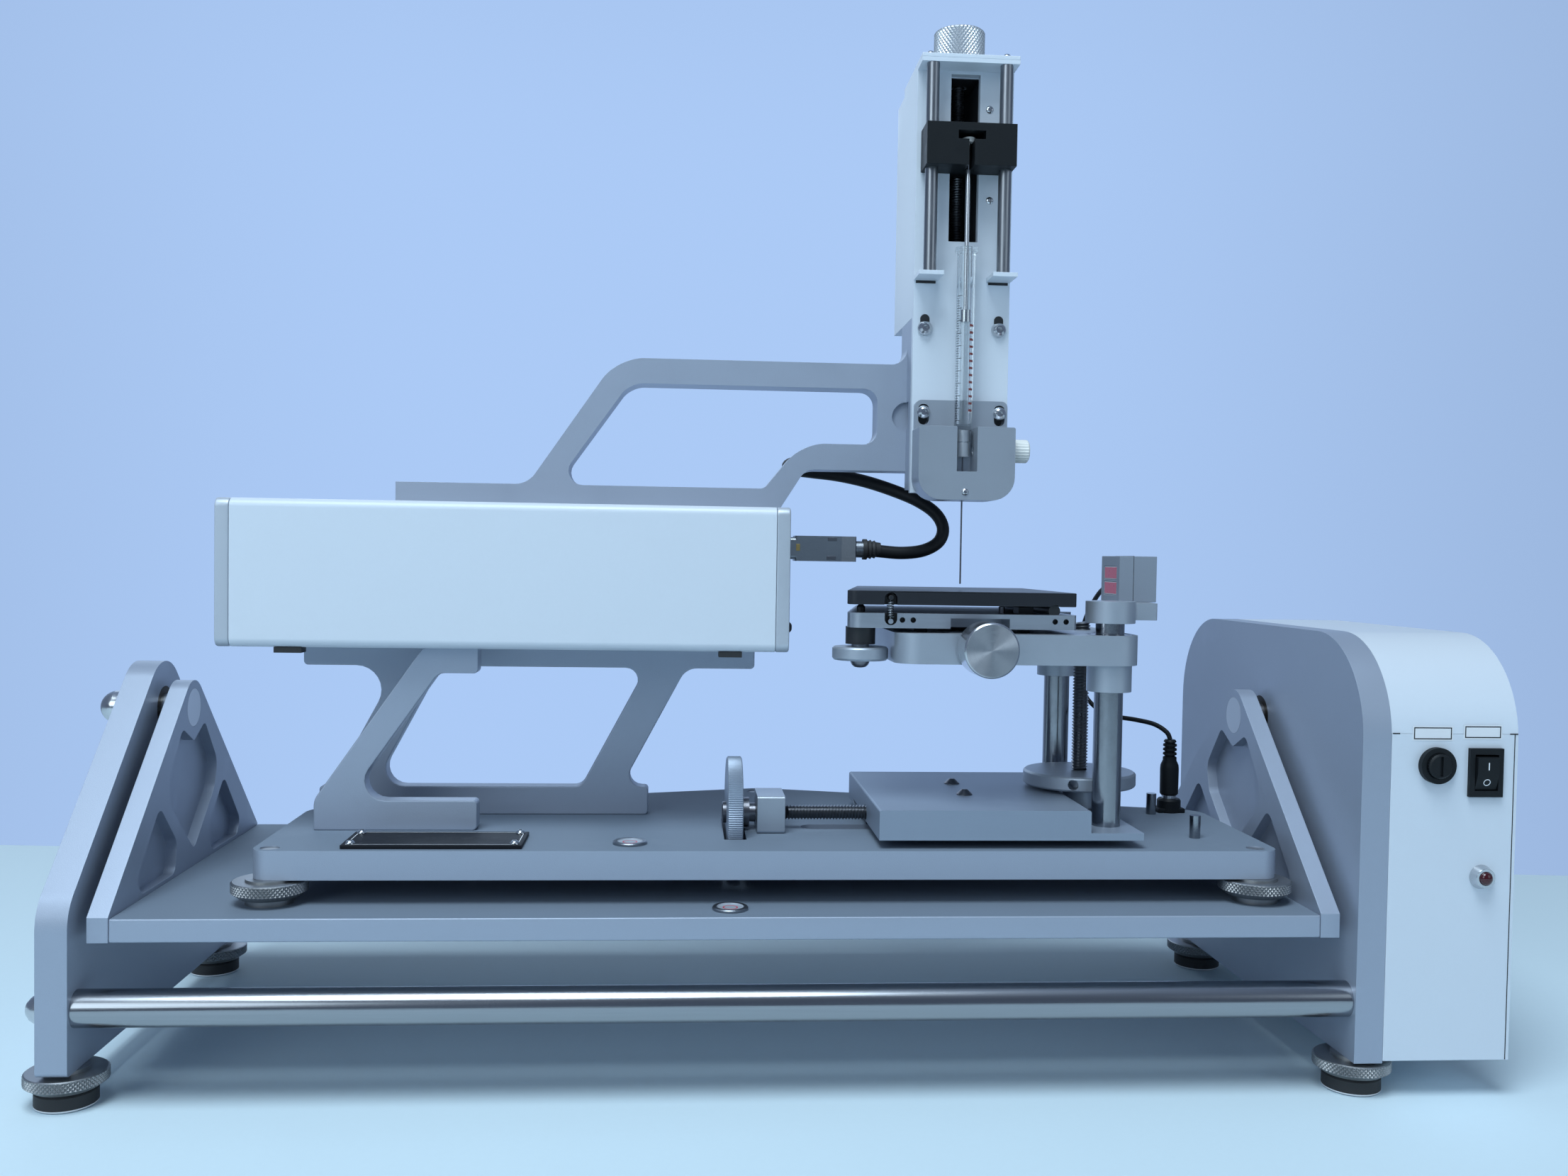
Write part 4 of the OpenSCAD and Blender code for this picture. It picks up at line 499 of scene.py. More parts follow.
def tidy_mesh(obj):
    only(obj)
    bpy.ops.object.mode_set(mode="EDIT")
    bpy.ops.mesh.select_all(action="SELECT")
    bpy.ops.mesh.remove_doubles(threshold=1e-7)
    outward()


def done(obj, name, body, finish, smooth=32, replaces=()):
    settle(obj)
    obj.name = name
    obj.data.name = name
    bpy.ops.object.shade_smooth_by_angle(angle=math.radians(smooth))
    if finish is not None:
        obj.data.materials.clear()
        obj.data.materials.append(finish)
    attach(obj, body)
    if replaces:
        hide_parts(*replaces)
    return obj


def cut(obj, cutter, finish):
    """A Boolean cut whose walls have their own finish."""
    cutter.data.materials.append(finish)
    modified(obj, "BOOLEAN", operation="DIFFERENCE", solver="EXACT", object=cutter)
    bpy.data.objects.remove(cutter)


def softened(obj, width, segments=2, angle=34):
    modified(obj, "BEVEL", width=width * MM, segments=segments, limit_method="ANGLE",
             angle_limit=math.radians(angle), use_clamp_overlap=True, miter_outer="MITER_ARC")


def brick(low, high):
    """A cube primitive between two corners."""
    rest()
    middle = (at(*low) + at(*high)) / 2
    size = [abs(b - a) * MM for a, b in zip(low, high)]
    bpy.ops.mesh.primitive_cube_add(size=1, location=middle, scale=size)
    obj = bpy.context.object
    settle(obj)
    return obj


def lathe(profile, sides=48):
    """A turned form on the Z axis: a circle, extruded and resized along (height, radius) steps."""
    rest()
    z0, r0 = profile[0]
    bpy.ops.mesh.primitive_circle_add(vertices=sides, radius=r0 * MM, fill_type="NGON", location=(0, 0, z0 * MM))
    obj = bpy.context.object
    settle(obj)
    bpy.ops.object.mode_set(mode="EDIT")
    bpy.ops.mesh.select_all(action="SELECT")
    last_z, last_r = z0, r0
    for z, r in profile[1:]:
        bpy.ops.mesh.extrude_region_move(TRANSFORM_OT_translate={"value": (0, 0, (z - last_z) * MM)})
        if abs(r - last_r) > 1e-6:
            factor = r / last_r
            bpy.ops.transform.resize(value=(factor, factor, 1), center_override=(0, 0, z * MM))
        last_z, last_r = z, r
    outward()
    return obj


TURN = {
    "+Z": (0, 0, 0), "-Z": (math.pi, 0, 0), "+X": (0, math.pi / 2, 0), "-X": (0, -math.pi / 2, 0),
    "+Y": (-math.pi / 2, 0, 0), "-Y": (math.pi / 2, 0, 0),
}


def stand(obj, place, way="+Z", spin=0.0):
    """Turn a form from the Z axis to another axis and carry it to its place."""
    only(obj)
    obj.rotation_euler = (0, 0, spin)
    bpy.ops.object.transform_apply(rotation=True)
    obj.rotation_euler = TURN[way]
    obj.location = place
    settle(obj)
    return obj


def copy_of(obj):
    only(obj)
    bpy.ops.object.duplicate(linked=False)
    return bpy.context.object


def join(first, *others):
    only(first)
    for obj in others:
        obj.select_set(True)
    bpy.ops.object.join()
    return bpy.context.object


print("helpers ready")

# %% [markdown]
# Machined plates, sheet metal covers and moulded blocks never have razor edges: a file, a tumbler or the paint
# leaves a narrow round that catches the light. A copy of each such CAD solid is merged, its flat triangles are
# joined, and a bevel and weighted normals give that edge. The copy then stands for the node.

# %% Softened plates, covers and blocks
# Corners of the upper arm: x and z, the reach of the drawn round and of the fuller one, along the sides
ARM_DEPTHS = (121.0, 139.0)
ARM_ROUNDS = [(-56.7, 327.3, 8.5, 13.2), (-50.5, 314.8, 3.2, 6.7), (35.5, 287.0, 5.85, 11.5)]


def fuller_round(obj, x, z, drawn, wanted):
    """Gather the facets of a drawn round into its corner, then bevel that corner with a longer reach."""
    ends = [at(x, y, z) for y in ARM_DEPTHS]
    only(obj)
    bpy.ops.object.mode_set(mode="EDIT")
    for corner in ends:
        bpy.ops.mesh.select_mode(type="VERT")
        bpy.ops.mesh.select_all(action="DESELECT")
        for point in bmesh.from_edit_mesh(obj.data).verts:
            point.select_set((point.co - corner).length < drawn * MM)
        bpy.ops.mesh.merge(type="CENTER")
        merged = [v for v in bmesh.from_edit_mesh(obj.data).verts if v.select][0]
        bpy.ops.transform.translate(value=corner - merged.co)
    bpy.ops.mesh.select_mode(type="EDGE")
    bpy.ops.mesh.select_all(action="DESELECT")
    for edge in bmesh.from_edit_mesh(obj.data).edges:
        edge.select_set(all(min((v.co - corner).length for corner in ends) < 1e-5 for v in edge.verts))
    bpy.ops.mesh.bevel(offset=wanted * MM, segments=14, profile=0.5, affect="EDGES", clamp_overlap=False)
    rest()


def soft_copy(node, width, finish, segments=2):
    rest()
    source = frame["nodes"][node]
    piece = bpy.data.objects.new("soft_" + node, source.data.copy())
    bpy.context.scene.collection.objects.link(piece)
    only(piece)
    bpy.ops.object.mode_set(mode="EDIT")
    bpy.ops.mesh.select_all(action="SELECT")
    bpy.ops.mesh.remove_doubles(threshold=2e-6)
    bpy.ops.mesh.dissolve_limited(angle_limit=math.radians(0.6))
    rest()
    if node == "upper_arm":
        for corner in ARM_ROUNDS:
            fuller_round(piece, *corner)
    softened(piece, width, segments)
    done(piece, node + "_soft", BODY_OF[node], finish, 30, (node,))
    modified(piece, "WEIGHTED_NORMAL", keep_sharp=True, weight=60)
    return piece


SOFT = [
    ("left_plate", 0.9, blasted), ("right_plate", 0.9, blasted), ("cradle_plate", 0.8, blasted),
    ("gussets", 0.7, blasted), ("base_plate", 1.1, blasted), ("front_bracket", 0.8, blasted),
    ("rear_frame", 0.8, blasted), ("upper_arm", 0.9, blasted), ("carriage", 0.6, carriage_grey),
    ("stage_arm", 0.9, stage_grey), ("cover_hood", 0.5, enamel), ("cover_tray", 0.4, enamel),
    ("housing_shell", 0.4, enamel), ("housing_caps", 0.9, cap_grey), ("head_plate", 0.5, enamel),
    ("motor_cover", 0.6, enamel), ("pusher_block", 0.6, deep_black), ("clamp_block", 0.9, stage_grey),
    ("table_lower", 0.4, milled), ("table_top", 0.5, table_black), ("lamp_bracket", 0.6, stage_grey),
    ("lamp_box", 0.5, lamp_grey), ("x_slide_base", 0.4, black_anodised), ("panel_fittings", 0.3, deep_black),
    ("switch_rocker", 0.3, deep_black), ("drive_plug", 0.5, nickel),
]
soft = {node: soft_copy(node, width, finish) for node, width, finish in SOFT}
for piece in soft.values():
    print(piece.name, len(piece.data.polygons), "faces")

# %% [markdown]
# Plain turned pieces keep their CAD solids. Only their finish is new: ground steel on rods and posts, dark bronze
# in the pivots' bushes, rubber under the feet, glass for the barrel.

# %% Finishes of the plain CAD pieces
PLAIN = {
    "tie_tubes": steel_x, "pivot_bushes": bronze, "foot_pads": rubber,
    "stop_pins": steel_z, "guide_rods": rod_steel, "syringe_barrel": glass,
    "posts": steel_z, "level_stud": black_moulded, "tilt_gearmotor": black_anodised, "power_supply": black_anodised,
    "camera_unit": black_anodised, "stepper_motor": black_moulded,
}
for node, finish in PLAIN.items():
    obj = frame["nodes"][node]
    obj.data.materials.clear()
    obj.data.materials.append(finish)
    only(obj)
    bpy.ops.object.shade_smooth_by_angle(angle=math.radians(30))
rest()
print("plain nodes:", len(PLAIN))

# %% [markdown]
# Two leads hang on the instrument. A curve through the drawn points gets a round section and becomes a mesh. The
# thick drive lead runs from the hooded plug round behind the arm and up into the motor cover, so it stays with
# the cradle. The thin lamp lead has one end on the carriage and one on the cradle.

# %% Leads
LAMP_ROUTE = [
    (190, 109.2, 217), (190, 115, 217), (190, 124, 214.5), (189.5, 135, 208), (189, 146, 198.5), (189, 153, 187),
    (189.5, 157, 174), (191.5, 157, 162), (197, 151.5, 153), (205, 143, 149), (214, 134, 148), (221.5, 127.5, 146.5),
    (226.5, 123.2, 143), (228, 122, 139.4),
]
DRIVE_ROUTE = [
    (68, 125, 234.5), (77, 125, 233.6), (88, 125.5, 233), (99, 127, 234.5), (107, 129, 239), (109.5, 131, 246),
    (106, 133.5, 253.5), (97, 136.5, 260), (84, 140, 265.5), (70, 144, 270), (56, 148, 273), (44, 152, 274.5),
    (35, 157.5, 276), (32, 165, 278.5), (37, 172.5, 281), (48, 175.5, 282.5), (62, 175, 284), (75, 173, 288),
    (86, 170, 296), (94, 166, 307.5), (100, 161, 320), (104, 155.5, 332), (106, 151.5, 341), (106, 150, 349),
]


def route(points, parts):
    """Points on a smooth curve through a drawn route."""
    p = [Vector(v) for v in points]
    line = []
    for i in range(len(p) - 1):
        a, b, c, d = p[max(i - 1, 0)], p[i], p[i + 1], p[min(i + 2, len(p) - 1)]
        for k in range(parts):
            t = k / parts
            line.append(0.5 * (2 * b + (c - a) * t + (2 * a - 5 * b + 4 * c - d) * t * t
                               + (3 * b - a - 3 * c + d) * t ** 3))
    return [at(*v) for v in line + [p[-1]]]


def tube(name, line, diameter, sides=16):
    rest()
    curve = bpy.data.curves.new(name, "CURVE")
    curve.dimensions = "3D"
    curve.bevel_depth = diameter / 2 * MM
    curve.bevel_resolution = (sides - 4) // 2
    curve.use_fill_caps = True
    spline = curve.splines.new("POLY")
    spline.points.add(len(line) - 1)
    for point, place in zip(spline.points, line):
        point.co = (*place, 1)
    obj = bpy.data.objects.new(name, curve)
    bpy.context.scene.collection.objects.link(obj)
    only(obj)
    bpy.ops.object.convert(target="MESH")
    obj = bpy.context.object
    tidy_mesh(obj)
    only(obj)
    bpy.ops.object.shade_smooth_by_angle(angle=math.radians(40))
    return obj


def length_of(line):
    return sum((b - a).length for a, b in zip(line, line[1:]))


drive_line = route(DRIVE_ROUTE, 5)
drive_wire = done(tube("drive_wire", drive_line, 6.4), "drive_wire", "cradle", jacket, 40, ("drive_lead",))
lamp_line = route(LAMP_ROUTE, 5)
lamp_wire = tube("lamp_wire", lamp_line, 2.4, 12)
lamp_wire.data.materials.append(jacket)
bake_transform(lamp_wire)
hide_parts("lamp_lead")
print("lead lengths", round(length_of(drive_line), 4), round(length_of(lamp_line), 4))

# %% [markdown]
# Each lead ends in moulded or metal fittings. The lamp's plug has a waisted grip, a ribbed sleeve and a bright ring
# over its socket. All of these are turned forms, drawn as steps of height and radius. The drive lead gets a short
# sleeve at its plug and a rubber ring where it enters the motor cover.

# %% Plugs and sleeves
plug_steps = [(0, 4.0), (0.8, 4.6), (13.5, 4.7), (15.5, 4.5), (18.0, 3.4)]
for k in range(4):
    plug_steps += [(18.6 + 2.2 * k, 3.5), (19.6 + 2.2 * k, 3.4), (19.9 + 2.2 * k, 2.6), (20.4 + 2.2 * k, 2.6)]
plug_steps += [(27.4, 3.3), (28.5, 2.6)]
grip = stand(lathe(plug_steps, 32), at(*PLUG_AXIS, 110.9))
ring = stand(lathe([(0, 3.7), (1.6, 3.7), (1.6, 3.2), (2.4, 3.2)], 32), at(*PLUG_AXIS, 108.9))
seat = stand(lathe([(0, 6.0), (6.0, 6.0), (6.9, 5.3), (6.9, 4.0)], 32), at(*PLUG_AXIS, 102.2))
flange = brick((221, 117, 102.2), (235, 127, 104.6))
softened(flange, 0.5)
lamp_grip = done(join(grip, seat, flange), "lamp_grip", "cradle", deep_black, 35, ("lamp_plug",))
lamp_ring = done(ring, "lamp_ring", "cradle", bright)
sleeve = lathe([(0, 5.2), (2.0, 5.2), (2.6, 4.2), (4.0, 4.9), (4.6, 4.0), (6.0, 4.6), (6.6, 3.8), (9.0, 3.5)], 28)
drive_sleeve = done(stand(sleeve, at(67.4, 125, 234.5), "+X"), "drive_sleeve", "cradle", rubber)
grommet = lathe([(0, 4.0), (0, 6.2), (1.2, 6.6), (2.4, 6.2), (2.4, 4.0)], 32)
drive_grommet = done(stand(grommet, at(106, 150.3, 346.2)), "drive_grommet", "cradle", rubber)
print("plug faces", len(lamp_grip.data.polygons))

# %% [markdown]
# Some solids carry two finishes. `paint` picks faces by their place and gives them a second one: a darker, duller grey
# on the tops of the base and the cradle as painted shade, black collars, black ribs under the small table as painted
# shade of the gap there, black in the spring's notch as painted shade, steel bushes in the lift arm, the grey bearing
# block of the X screw, the bright ring of the indicator and the plain discs where the pivots end.

# %% Second finishes on the soft pieces
def paint(obj, finish, test):
    """Give a finish to the faces whose middle (in drawing millimetres) and normal pass the test."""
    count = pick(obj, lambda c, n: test((c - DATUM) / MM, n))
    if finish.name not in [m.name for m in obj.data.materials]:
        obj.data.materials.append(finish)
    obj.active_material_index = [m.name for m in obj.data.materials].index(finish.name)
    bpy.ops.object.material_slot_assign()
    rest()
    return count


def near(c, x, y, reach):
    return math.hypot(c.x - x, c.y - y) < reach


soft["plunger"] = soft_copy("plunger", 0.12, bright)
soft["needle"] = soft_copy("needle", 0.06, knob_metal)
soft["pivot_pin"] = soft_copy("pivot_pin", 0.25, bright)
soft["drive_shaft"] = soft_copy("drive_shaft", 0.25, dark_oxide)
painted = {
    # painted shade: the upward faces of the base and the cradle take the darker grey
    "base": paint(soft["base_plate"], top_shade_grey, lambda c, n: n.z > 0.9),
    "cradle": paint(soft["cradle_plate"], top_shade_grey, lambda c, n: n.z > 0.9),
    # painted shade: black on the ribs under the small table (faces below z 198.85) stands in for the dark gap there
    "table": paint(soft["table_lower"], black_moulded, lambda c, n: c.z < 198.85 or c.z > 205.8),
    "bushes": paint(soft["stage_arm"], steel_z, lambda c, n: c.z < 183.2 or near(c, 172, 49.5, 10.3)
                    and c.z > 196.8 or near(c, 172, 136.5, 10.3) and c.z > 196.8),
    "bearing": paint(soft["x_slide_base"], stage_grey, lambda c, n: c.x < 26),
    "thin needle": paint(soft["needle"], dark_oxide, lambda c, n: c.z < 279.7),
    "button": paint(soft["plunger"], nylon, lambda c, n: c.z > 430),
    # painted shade: the spring's notch in both plates is inked black for the dark inside of the deep notch
    "recess": paint(soft["table_top"], ink, lambda c, n: abs(c.x - 70) < 3.2 and 44.3 < c.y < 50)
    + paint(soft["table_lower"], ink, lambda c, n: abs(c.x - 70) < 3.2 and 44.3 < c.y < 50 and c.z < 205.5),
    "indicator": paint(soft["panel_fittings"], bright, lambda c, n: c.z < 104 and c.y < 0.2),
    "left disc": paint(soft["pivot_pin"], knob_metal, lambda c, n: c.x > -258),
    "right disc": paint(soft["drive_shaft"], knob_metal, lambda c, n: c.x < 258),
}
print(painted)

# %% [markdown]
# Small round holes are drilled with a Boolean: a row of pins is cut from the plate and then thrown away. The small
# table has two pairs of tapped holes in its front edge, and the arm has a shallow counterbore beside the head.

# %% Drilled holes
def drill(obj, finish, places, way, diameter, depth):
    pins = []
    for place in places:
        pin = lathe([(-depth, diameter / 2), (2.0, diameter / 2)], 32)
        pins.append(stand(pin, at(*place), way))
    cut(obj, join(*pins), finish)
    modified(obj, "WEIGHTED_NORMAL", keep_sharp=True, weight=60)


front_holes = [(75.2, 44, 202.6), (80.1, 44, 202.6), (144.9, 44, 202.6), (149.9, 44, 202.6)]
drill(soft["table_lower"], black_moulded, front_holes, "-Y", 2.5, 3.0)
drill(soft["upper_arm"], blasted, [(87.4, 121, 301.3)], "-Y", 13.6, 1.6)
print("holes drilled:", len(front_holes) + 1)

# %% [markdown]
# Knurled rims: the lathe gives a band of close rings, and then every other point goes inwards, turn about from ring
# to ring. Each bent square is split along the line between its two low points, which leaves a field of small
# pyramids, as a knurling wheel does. With the same points in each ring it gives straight flutes instead.

# %% Knurled foot wheels
def band(low, high, rows, radius):
    return [(low + (high - low) * k / rows, radius) for k in range(rows + 1)]


def knurl(obj, radius, low, high, depth, sides, straight=False):
    mesh = edit(obj)
    ring = [v for v in mesh.verts if abs(math.hypot(v.co.x, v.co.y) - radius * MM) < 1e-5
            and low - 0.001 <= v.co.z / MM <= high + 0.001]
    heights = sorted({round(v.co.z / MM, 2) for v in ring})
    for v in ring:
        column = round(math.atan2(v.co.y, v.co.x) / (2 * math.pi) * sides)
        row = 0 if straight else heights.index(round(v.co.z / MM, 2))
        v.select_set((column + row) % 2 == 0)
    mesh.select_flush_mode()
    bmesh.update_edit_mesh(obj.data)
    inward = (radius - depth) / radius
    bpy.ops.transform.resize(value=(inward, inward, 1), center_override=(0, 0, 0))
    if not straight:
        pick(obj, lambda c, n: low < c.z / MM < high and math.hypot(c.x, c.y) > (radius - depth - 0.1) * MM)
        bpy.ops.mesh.quads_convert_to_tris(quad_method="SHORTEST_DIAGONAL")
    rest()
    return len(ring)


frame_wheel = lathe([(3.1, 4.0), (7.3, 4.0), (7.3, 12.9), (7.6, 13.2), (9.5, 16.0)] + band(9.8, 13.5, 4, 16.5)
                    + [(13.8, 16.1), (14.1, 15.6), (14.1, 9.0), (15.6, 9.0), (15.6, 4.0), (33.7, 4.0)], 112)
print("rim points", knurl(frame_wheel, 16.5, 9.8, 13.5, 0.6, 112))
base_wheel = lathe([(78.6, 10.0), (81.5, 10.0), (81.5, 12.6), (81.8, 12.9), (83.7, 15.5)] + band(84.0, 87.9, 4, 16.0)
                   + [(88.2, 15.6), (88.5, 15.1), (88.5, 10.0), (89.5, 10.0), (89.5, 4.0), (101.6, 4.0)], 108)
knurl(base_wheel, 16.0, 84.0, 87.9, 0.6, 108)
FEET = [("foot_wheel_front_left", -274.25, 14.7), ("foot_wheel_front_right", 274.25, 14.7),
        ("foot_wheel_rear_left", -274.25, 197.3), ("foot_wheel_rear_right", 274.25, 197.3),
        ("base_wheel_left", -198, 33), ("base_wheel_right", 236, 33), ("base_wheel_rear", 18, 180)]
for turn_by, (node, x, y) in enumerate(FEET):
    wheel = copy_of(frame_wheel if node.startswith("foot") else base_wheel)
    stand(wheel, at(x, y, 0), "+Z", 0.37 * turn_by)
    done(wheel, node + "_knurled", BODY_OF[node], knurled, 24, (node,))
for pattern in (frame_wheel, base_wheel):
    bpy.data.objects.remove(pattern)
for node, x, y in FEET[:4]:
    glide = stand(lathe([(0, 11.6), (0.4, 12.3), (0.9, 12.4), (1.0, 12.2)], 48), at(x, y, 0))
    done(glide, node.replace("foot_wheel", "glide"), "frame", label_card)
print("feet:", len(FEET))

# %% [markdown]
# A screw thread is a helix. Three points make one tooth, and the Screw modifier winds it up along the axis. The
# turns are then merged and the ends closed. The dark lead screws of the slides and of the syringe are made so.

# %% Lead screws
def thread(length, outer, pitch, depth, sides=20):
    rest()
    bpy.ops.mesh.primitive_circle_add(vertices=4, radius=1, fill_type="NOTHING", location=(0, 0, 0))
    obj = bpy.context.object
    mesh = edit(obj)
    mesh.verts.ensure_lookup_table()
    for v in mesh.verts:
        v.select_set(v.index == 3)
    mesh.select_flush_mode()
    bmesh.update_edit_mesh(obj.data)
    bpy.ops.mesh.delete(type="VERT")
    mesh = bmesh.from_edit_mesh(obj.data)
    mesh.verts.ensure_lookup_table()
    tooth = ((outer - depth, 0), (outer, pitch / 2), (outer - depth, pitch))
    for v, (r, z) in zip(mesh.verts, tooth):
        v.co = (r * MM, 0, z * MM)
    bmesh.update_edit_mesh(obj.data)
    modified(obj, "SCREW", axis="Z", angle=2 * math.pi, screw_offset=pitch * MM, steps=sides, render_steps=sides,
             iterations=max(1, int(length / pitch)), use_merge_vertices=True, use_smooth_shade=False)
    only(obj)
    bpy.ops.object.mode_set(mode="EDIT")
    bpy.ops.mesh.select_all(action="SELECT")
    bpy.ops.mesh.remove_doubles(threshold=1e-6)
    bpy.ops.mesh.fill_holes(sides=0)
    outward()
    return obj


# Name, body, length, radius, pitch, depth, place and direction
THREADS = [
    ("x_thread", "x_screw", 82, 3.5, 1.5, 0.8, (26, *X_AXIS), "+X"),
    ("z_thread", "z_screw", 73, 4.0, 1.5, 0.85, (*Z_AXIS, 127.6), "+Z"),
    ("y_thread", "y_screw", 70, 3.0, 1.25, 0.5, (110.6, 37, 190.8), "+Y"),
    ("drive_thread", "syringe_drive", 94, 3.0, 1.25, 0.5, (*DRIVE_AXIS, 376.6), "+Z"),
]
for name, body, length, outer, pitch, depth, place, way in THREADS:
    helix = stand(thread(length, outer, pitch, depth), at(*place), way)
    done(helix, name, body, thread_steel, 20)
    print(name, len(helix.data.polygons), "faces")

# %% [markdown]
# The hand parts of those screws: a fluted X wheel, a drilled lift disc, a polished Y knob whose face shows the rings
# of the lathe, the levelling thumbwheel with its button screw, the knurled knob on top and the nylon clamp screw.

# %% Handwheels and knobs
wheel = lathe([(-2.0, 4.2), (-1.6, 5.0), (0, 5.0), (0, 25.2), (0.3, 25.7)] + band(0.6, 6.4, 1, 26.0)
              + [(6.7, 25.7), (7.0, 25.2), (7.0, 7.0), (10.6, 7.0), (10.6, 4.4), (13.6, 4.4)], 320)
knurl(wheel, 26.0, 0.6, 6.4, 0.45, 320, True)
x_wheel = done(stand(wheel, at(-1.4, *X_AXIS), "+X"), "x_wheel", "x_screw", carriage_grey, 24,
               ("x_screw",))
paint(x_wheel, dark_oxide, lambda c, n: math.hypot(c.y - X_AXIS[0], c.z - X_AXIS[1]) < 7.2)

disc = lathe([(-14.8, 3.0), (-10.9, 3.0), (-10.9, 8.0), (0, 8.0), (0, 26.0), (0.5, 26.7), (1.0, 27.0), (6.0, 27.0),
              (6.5, 26.7), (7.0, 26.0), (7.0, 3.4)], 96)
z_disc = done(stand(disc, at(*Z_AXIS, 121)), "z_disc", "z_screw", stage_grey, 30, ("z_screw",))
angle = math.radians(-112)
bar_hole = (Z_AXIS[0] + 27 * math.cos(angle), Z_AXIS[1] + 27 * math.sin(angle), 124.5)
pin = lathe([(-10.0, 2.5), (2.0, 2.5)], 32)
only(pin)
pin.rotation_euler = (0, math.pi / 2, angle)
pin.location = at(*bar_hole)
settle(pin)
cut(z_disc, pin, black_moulded)

turned_face = turned_finish("turned_knob_face", (0.42, 0.43, 0.46), 0.42, at(*Y_KNOB), 1)
knob = lathe([(0, 11.4), (0.3, 11.8), (0.8, 12.2), (16.2, 12.2), (16.7, 11.8), (17.0, 11.2), (17.0, 6.0), (18.4, 6.0),
              (18.4, 3.0), (20, 3.0)], 96)
y_knob = done(stand(knob, at(*Y_KNOB), "+Y"), "y_knob", "y_screw", bright, 30, ("y_screw",))
paint(y_knob, turned_face, lambda c, n: n.y < -0.9 and c.y < 19)

thumb = lathe([(-3.6, 1.2), (-3.3, 2.6), (-2.4, 3.7), (-1.2, 4.3), (0, 4.5), (0, 12.0), (0.6, 12.5)]
              + band(1.0, 5.2, 1, 12.8) + [(5.6, 12.5), (6.1, 11.9), (6.1, 4.0), (7.2, 4.0), (7.2, 2.2)], 128)
knurl(thumb, 12.8, 1.0, 5.2, 0.14, 128, True)
level_thumb = done(stand(thumb, at(58.2, 58, 183.6)), "level_thumb", "level_wheel", stage_grey, 30,
                   ("level_wheel",))
paint(level_thumb, dark_oxide, lambda c, n: c.z < 183.55)

top = lathe([(0, 11.6), (0.5, 12.3)] + band(1.1, 19.9, 15, 12.75)
            + [(20.5, 12.3), (21.0, 11.7), (21.0, 9.6), (20.6, 9.2), (20.6, 1.0)], 84)
knurl(top, 12.75, 1.1, 19.9, 0.6, 84)
drive_knob = done(stand(top, at(*DRIVE_AXIS, 472.4)), "drive_knob", "syringe_drive", knob_metal, 22,
                  ("syringe_drive",))
nylon_grip = lathe([(-13, 2.0), (0, 2.0), (0, 4.9), (0.5, 5.4)] + band(0.8, 7.6, 1, 5.65)
                   + [(8.0, 5.3), (8.5, 4.6), (8.5, 2.4), (8.2, 2.0)], 48)
knurl(nylon_grip, 5.65, 0.8, 7.6, 0.3, 48, True)
clamp_thumb = done(stand(nylon_grip, at(135.1, 95, 283.1), "+X"), "clamp_thumb", "clamp_screw", nylon,
                   26, ("clamp_screw",))
print("hand parts:", [o.name for o in (x_wheel, z_disc, y_knob, level_thumb, drive_knob, clamp_thumb)])

# %% [markdown]
# Button-head screws hold the head, the clamp and the frame's tubes. One is turned on the lathe. The middle of its
# top is inset, the ring of points is pulled on to a hexagon, and that hexagon is pushed down for the key. Every
# other screw is a copy at its own size.

# %% Button screws
def button_screw(diameter, height, key):
    r, h = diameter / 2, height
    obj = lathe([(-0.4, r * 0.9), (0.15 * h, r), (0.45 * h, 0.93 * r), (0.75 * h, 0.76 * r), (0.94 * h, 0.55 * r),
                 (h, 0.5 * r)], 24)
    pick(obj, lambda c, n: n.z > 0.9 and c.z > (h - 0.01) * MM)
    bpy.ops.mesh.inset(thickness=0.06 * r * MM)
    mesh = bmesh.from_edit_mesh(obj.data)
    for v in [v for f in mesh.faces if f.select for v in f.verts]:
        turn_by = math.atan2(v.co.y, v.co.x)
        reach = key / 2 / math.cos((turn_by % (math.pi / 3)) - math.pi / 6)
        v.co.x, v.co.y = reach * MM * math.cos(turn_by), reach * MM * math.sin(turn_by)
    bmesh.update_edit_mesh(obj.data)
    bpy.ops.mesh.extrude_region_move(TRANSFORM_OT_translate={"value": (0, 0, -0.55 * h * MM)})
    rest()
    return obj


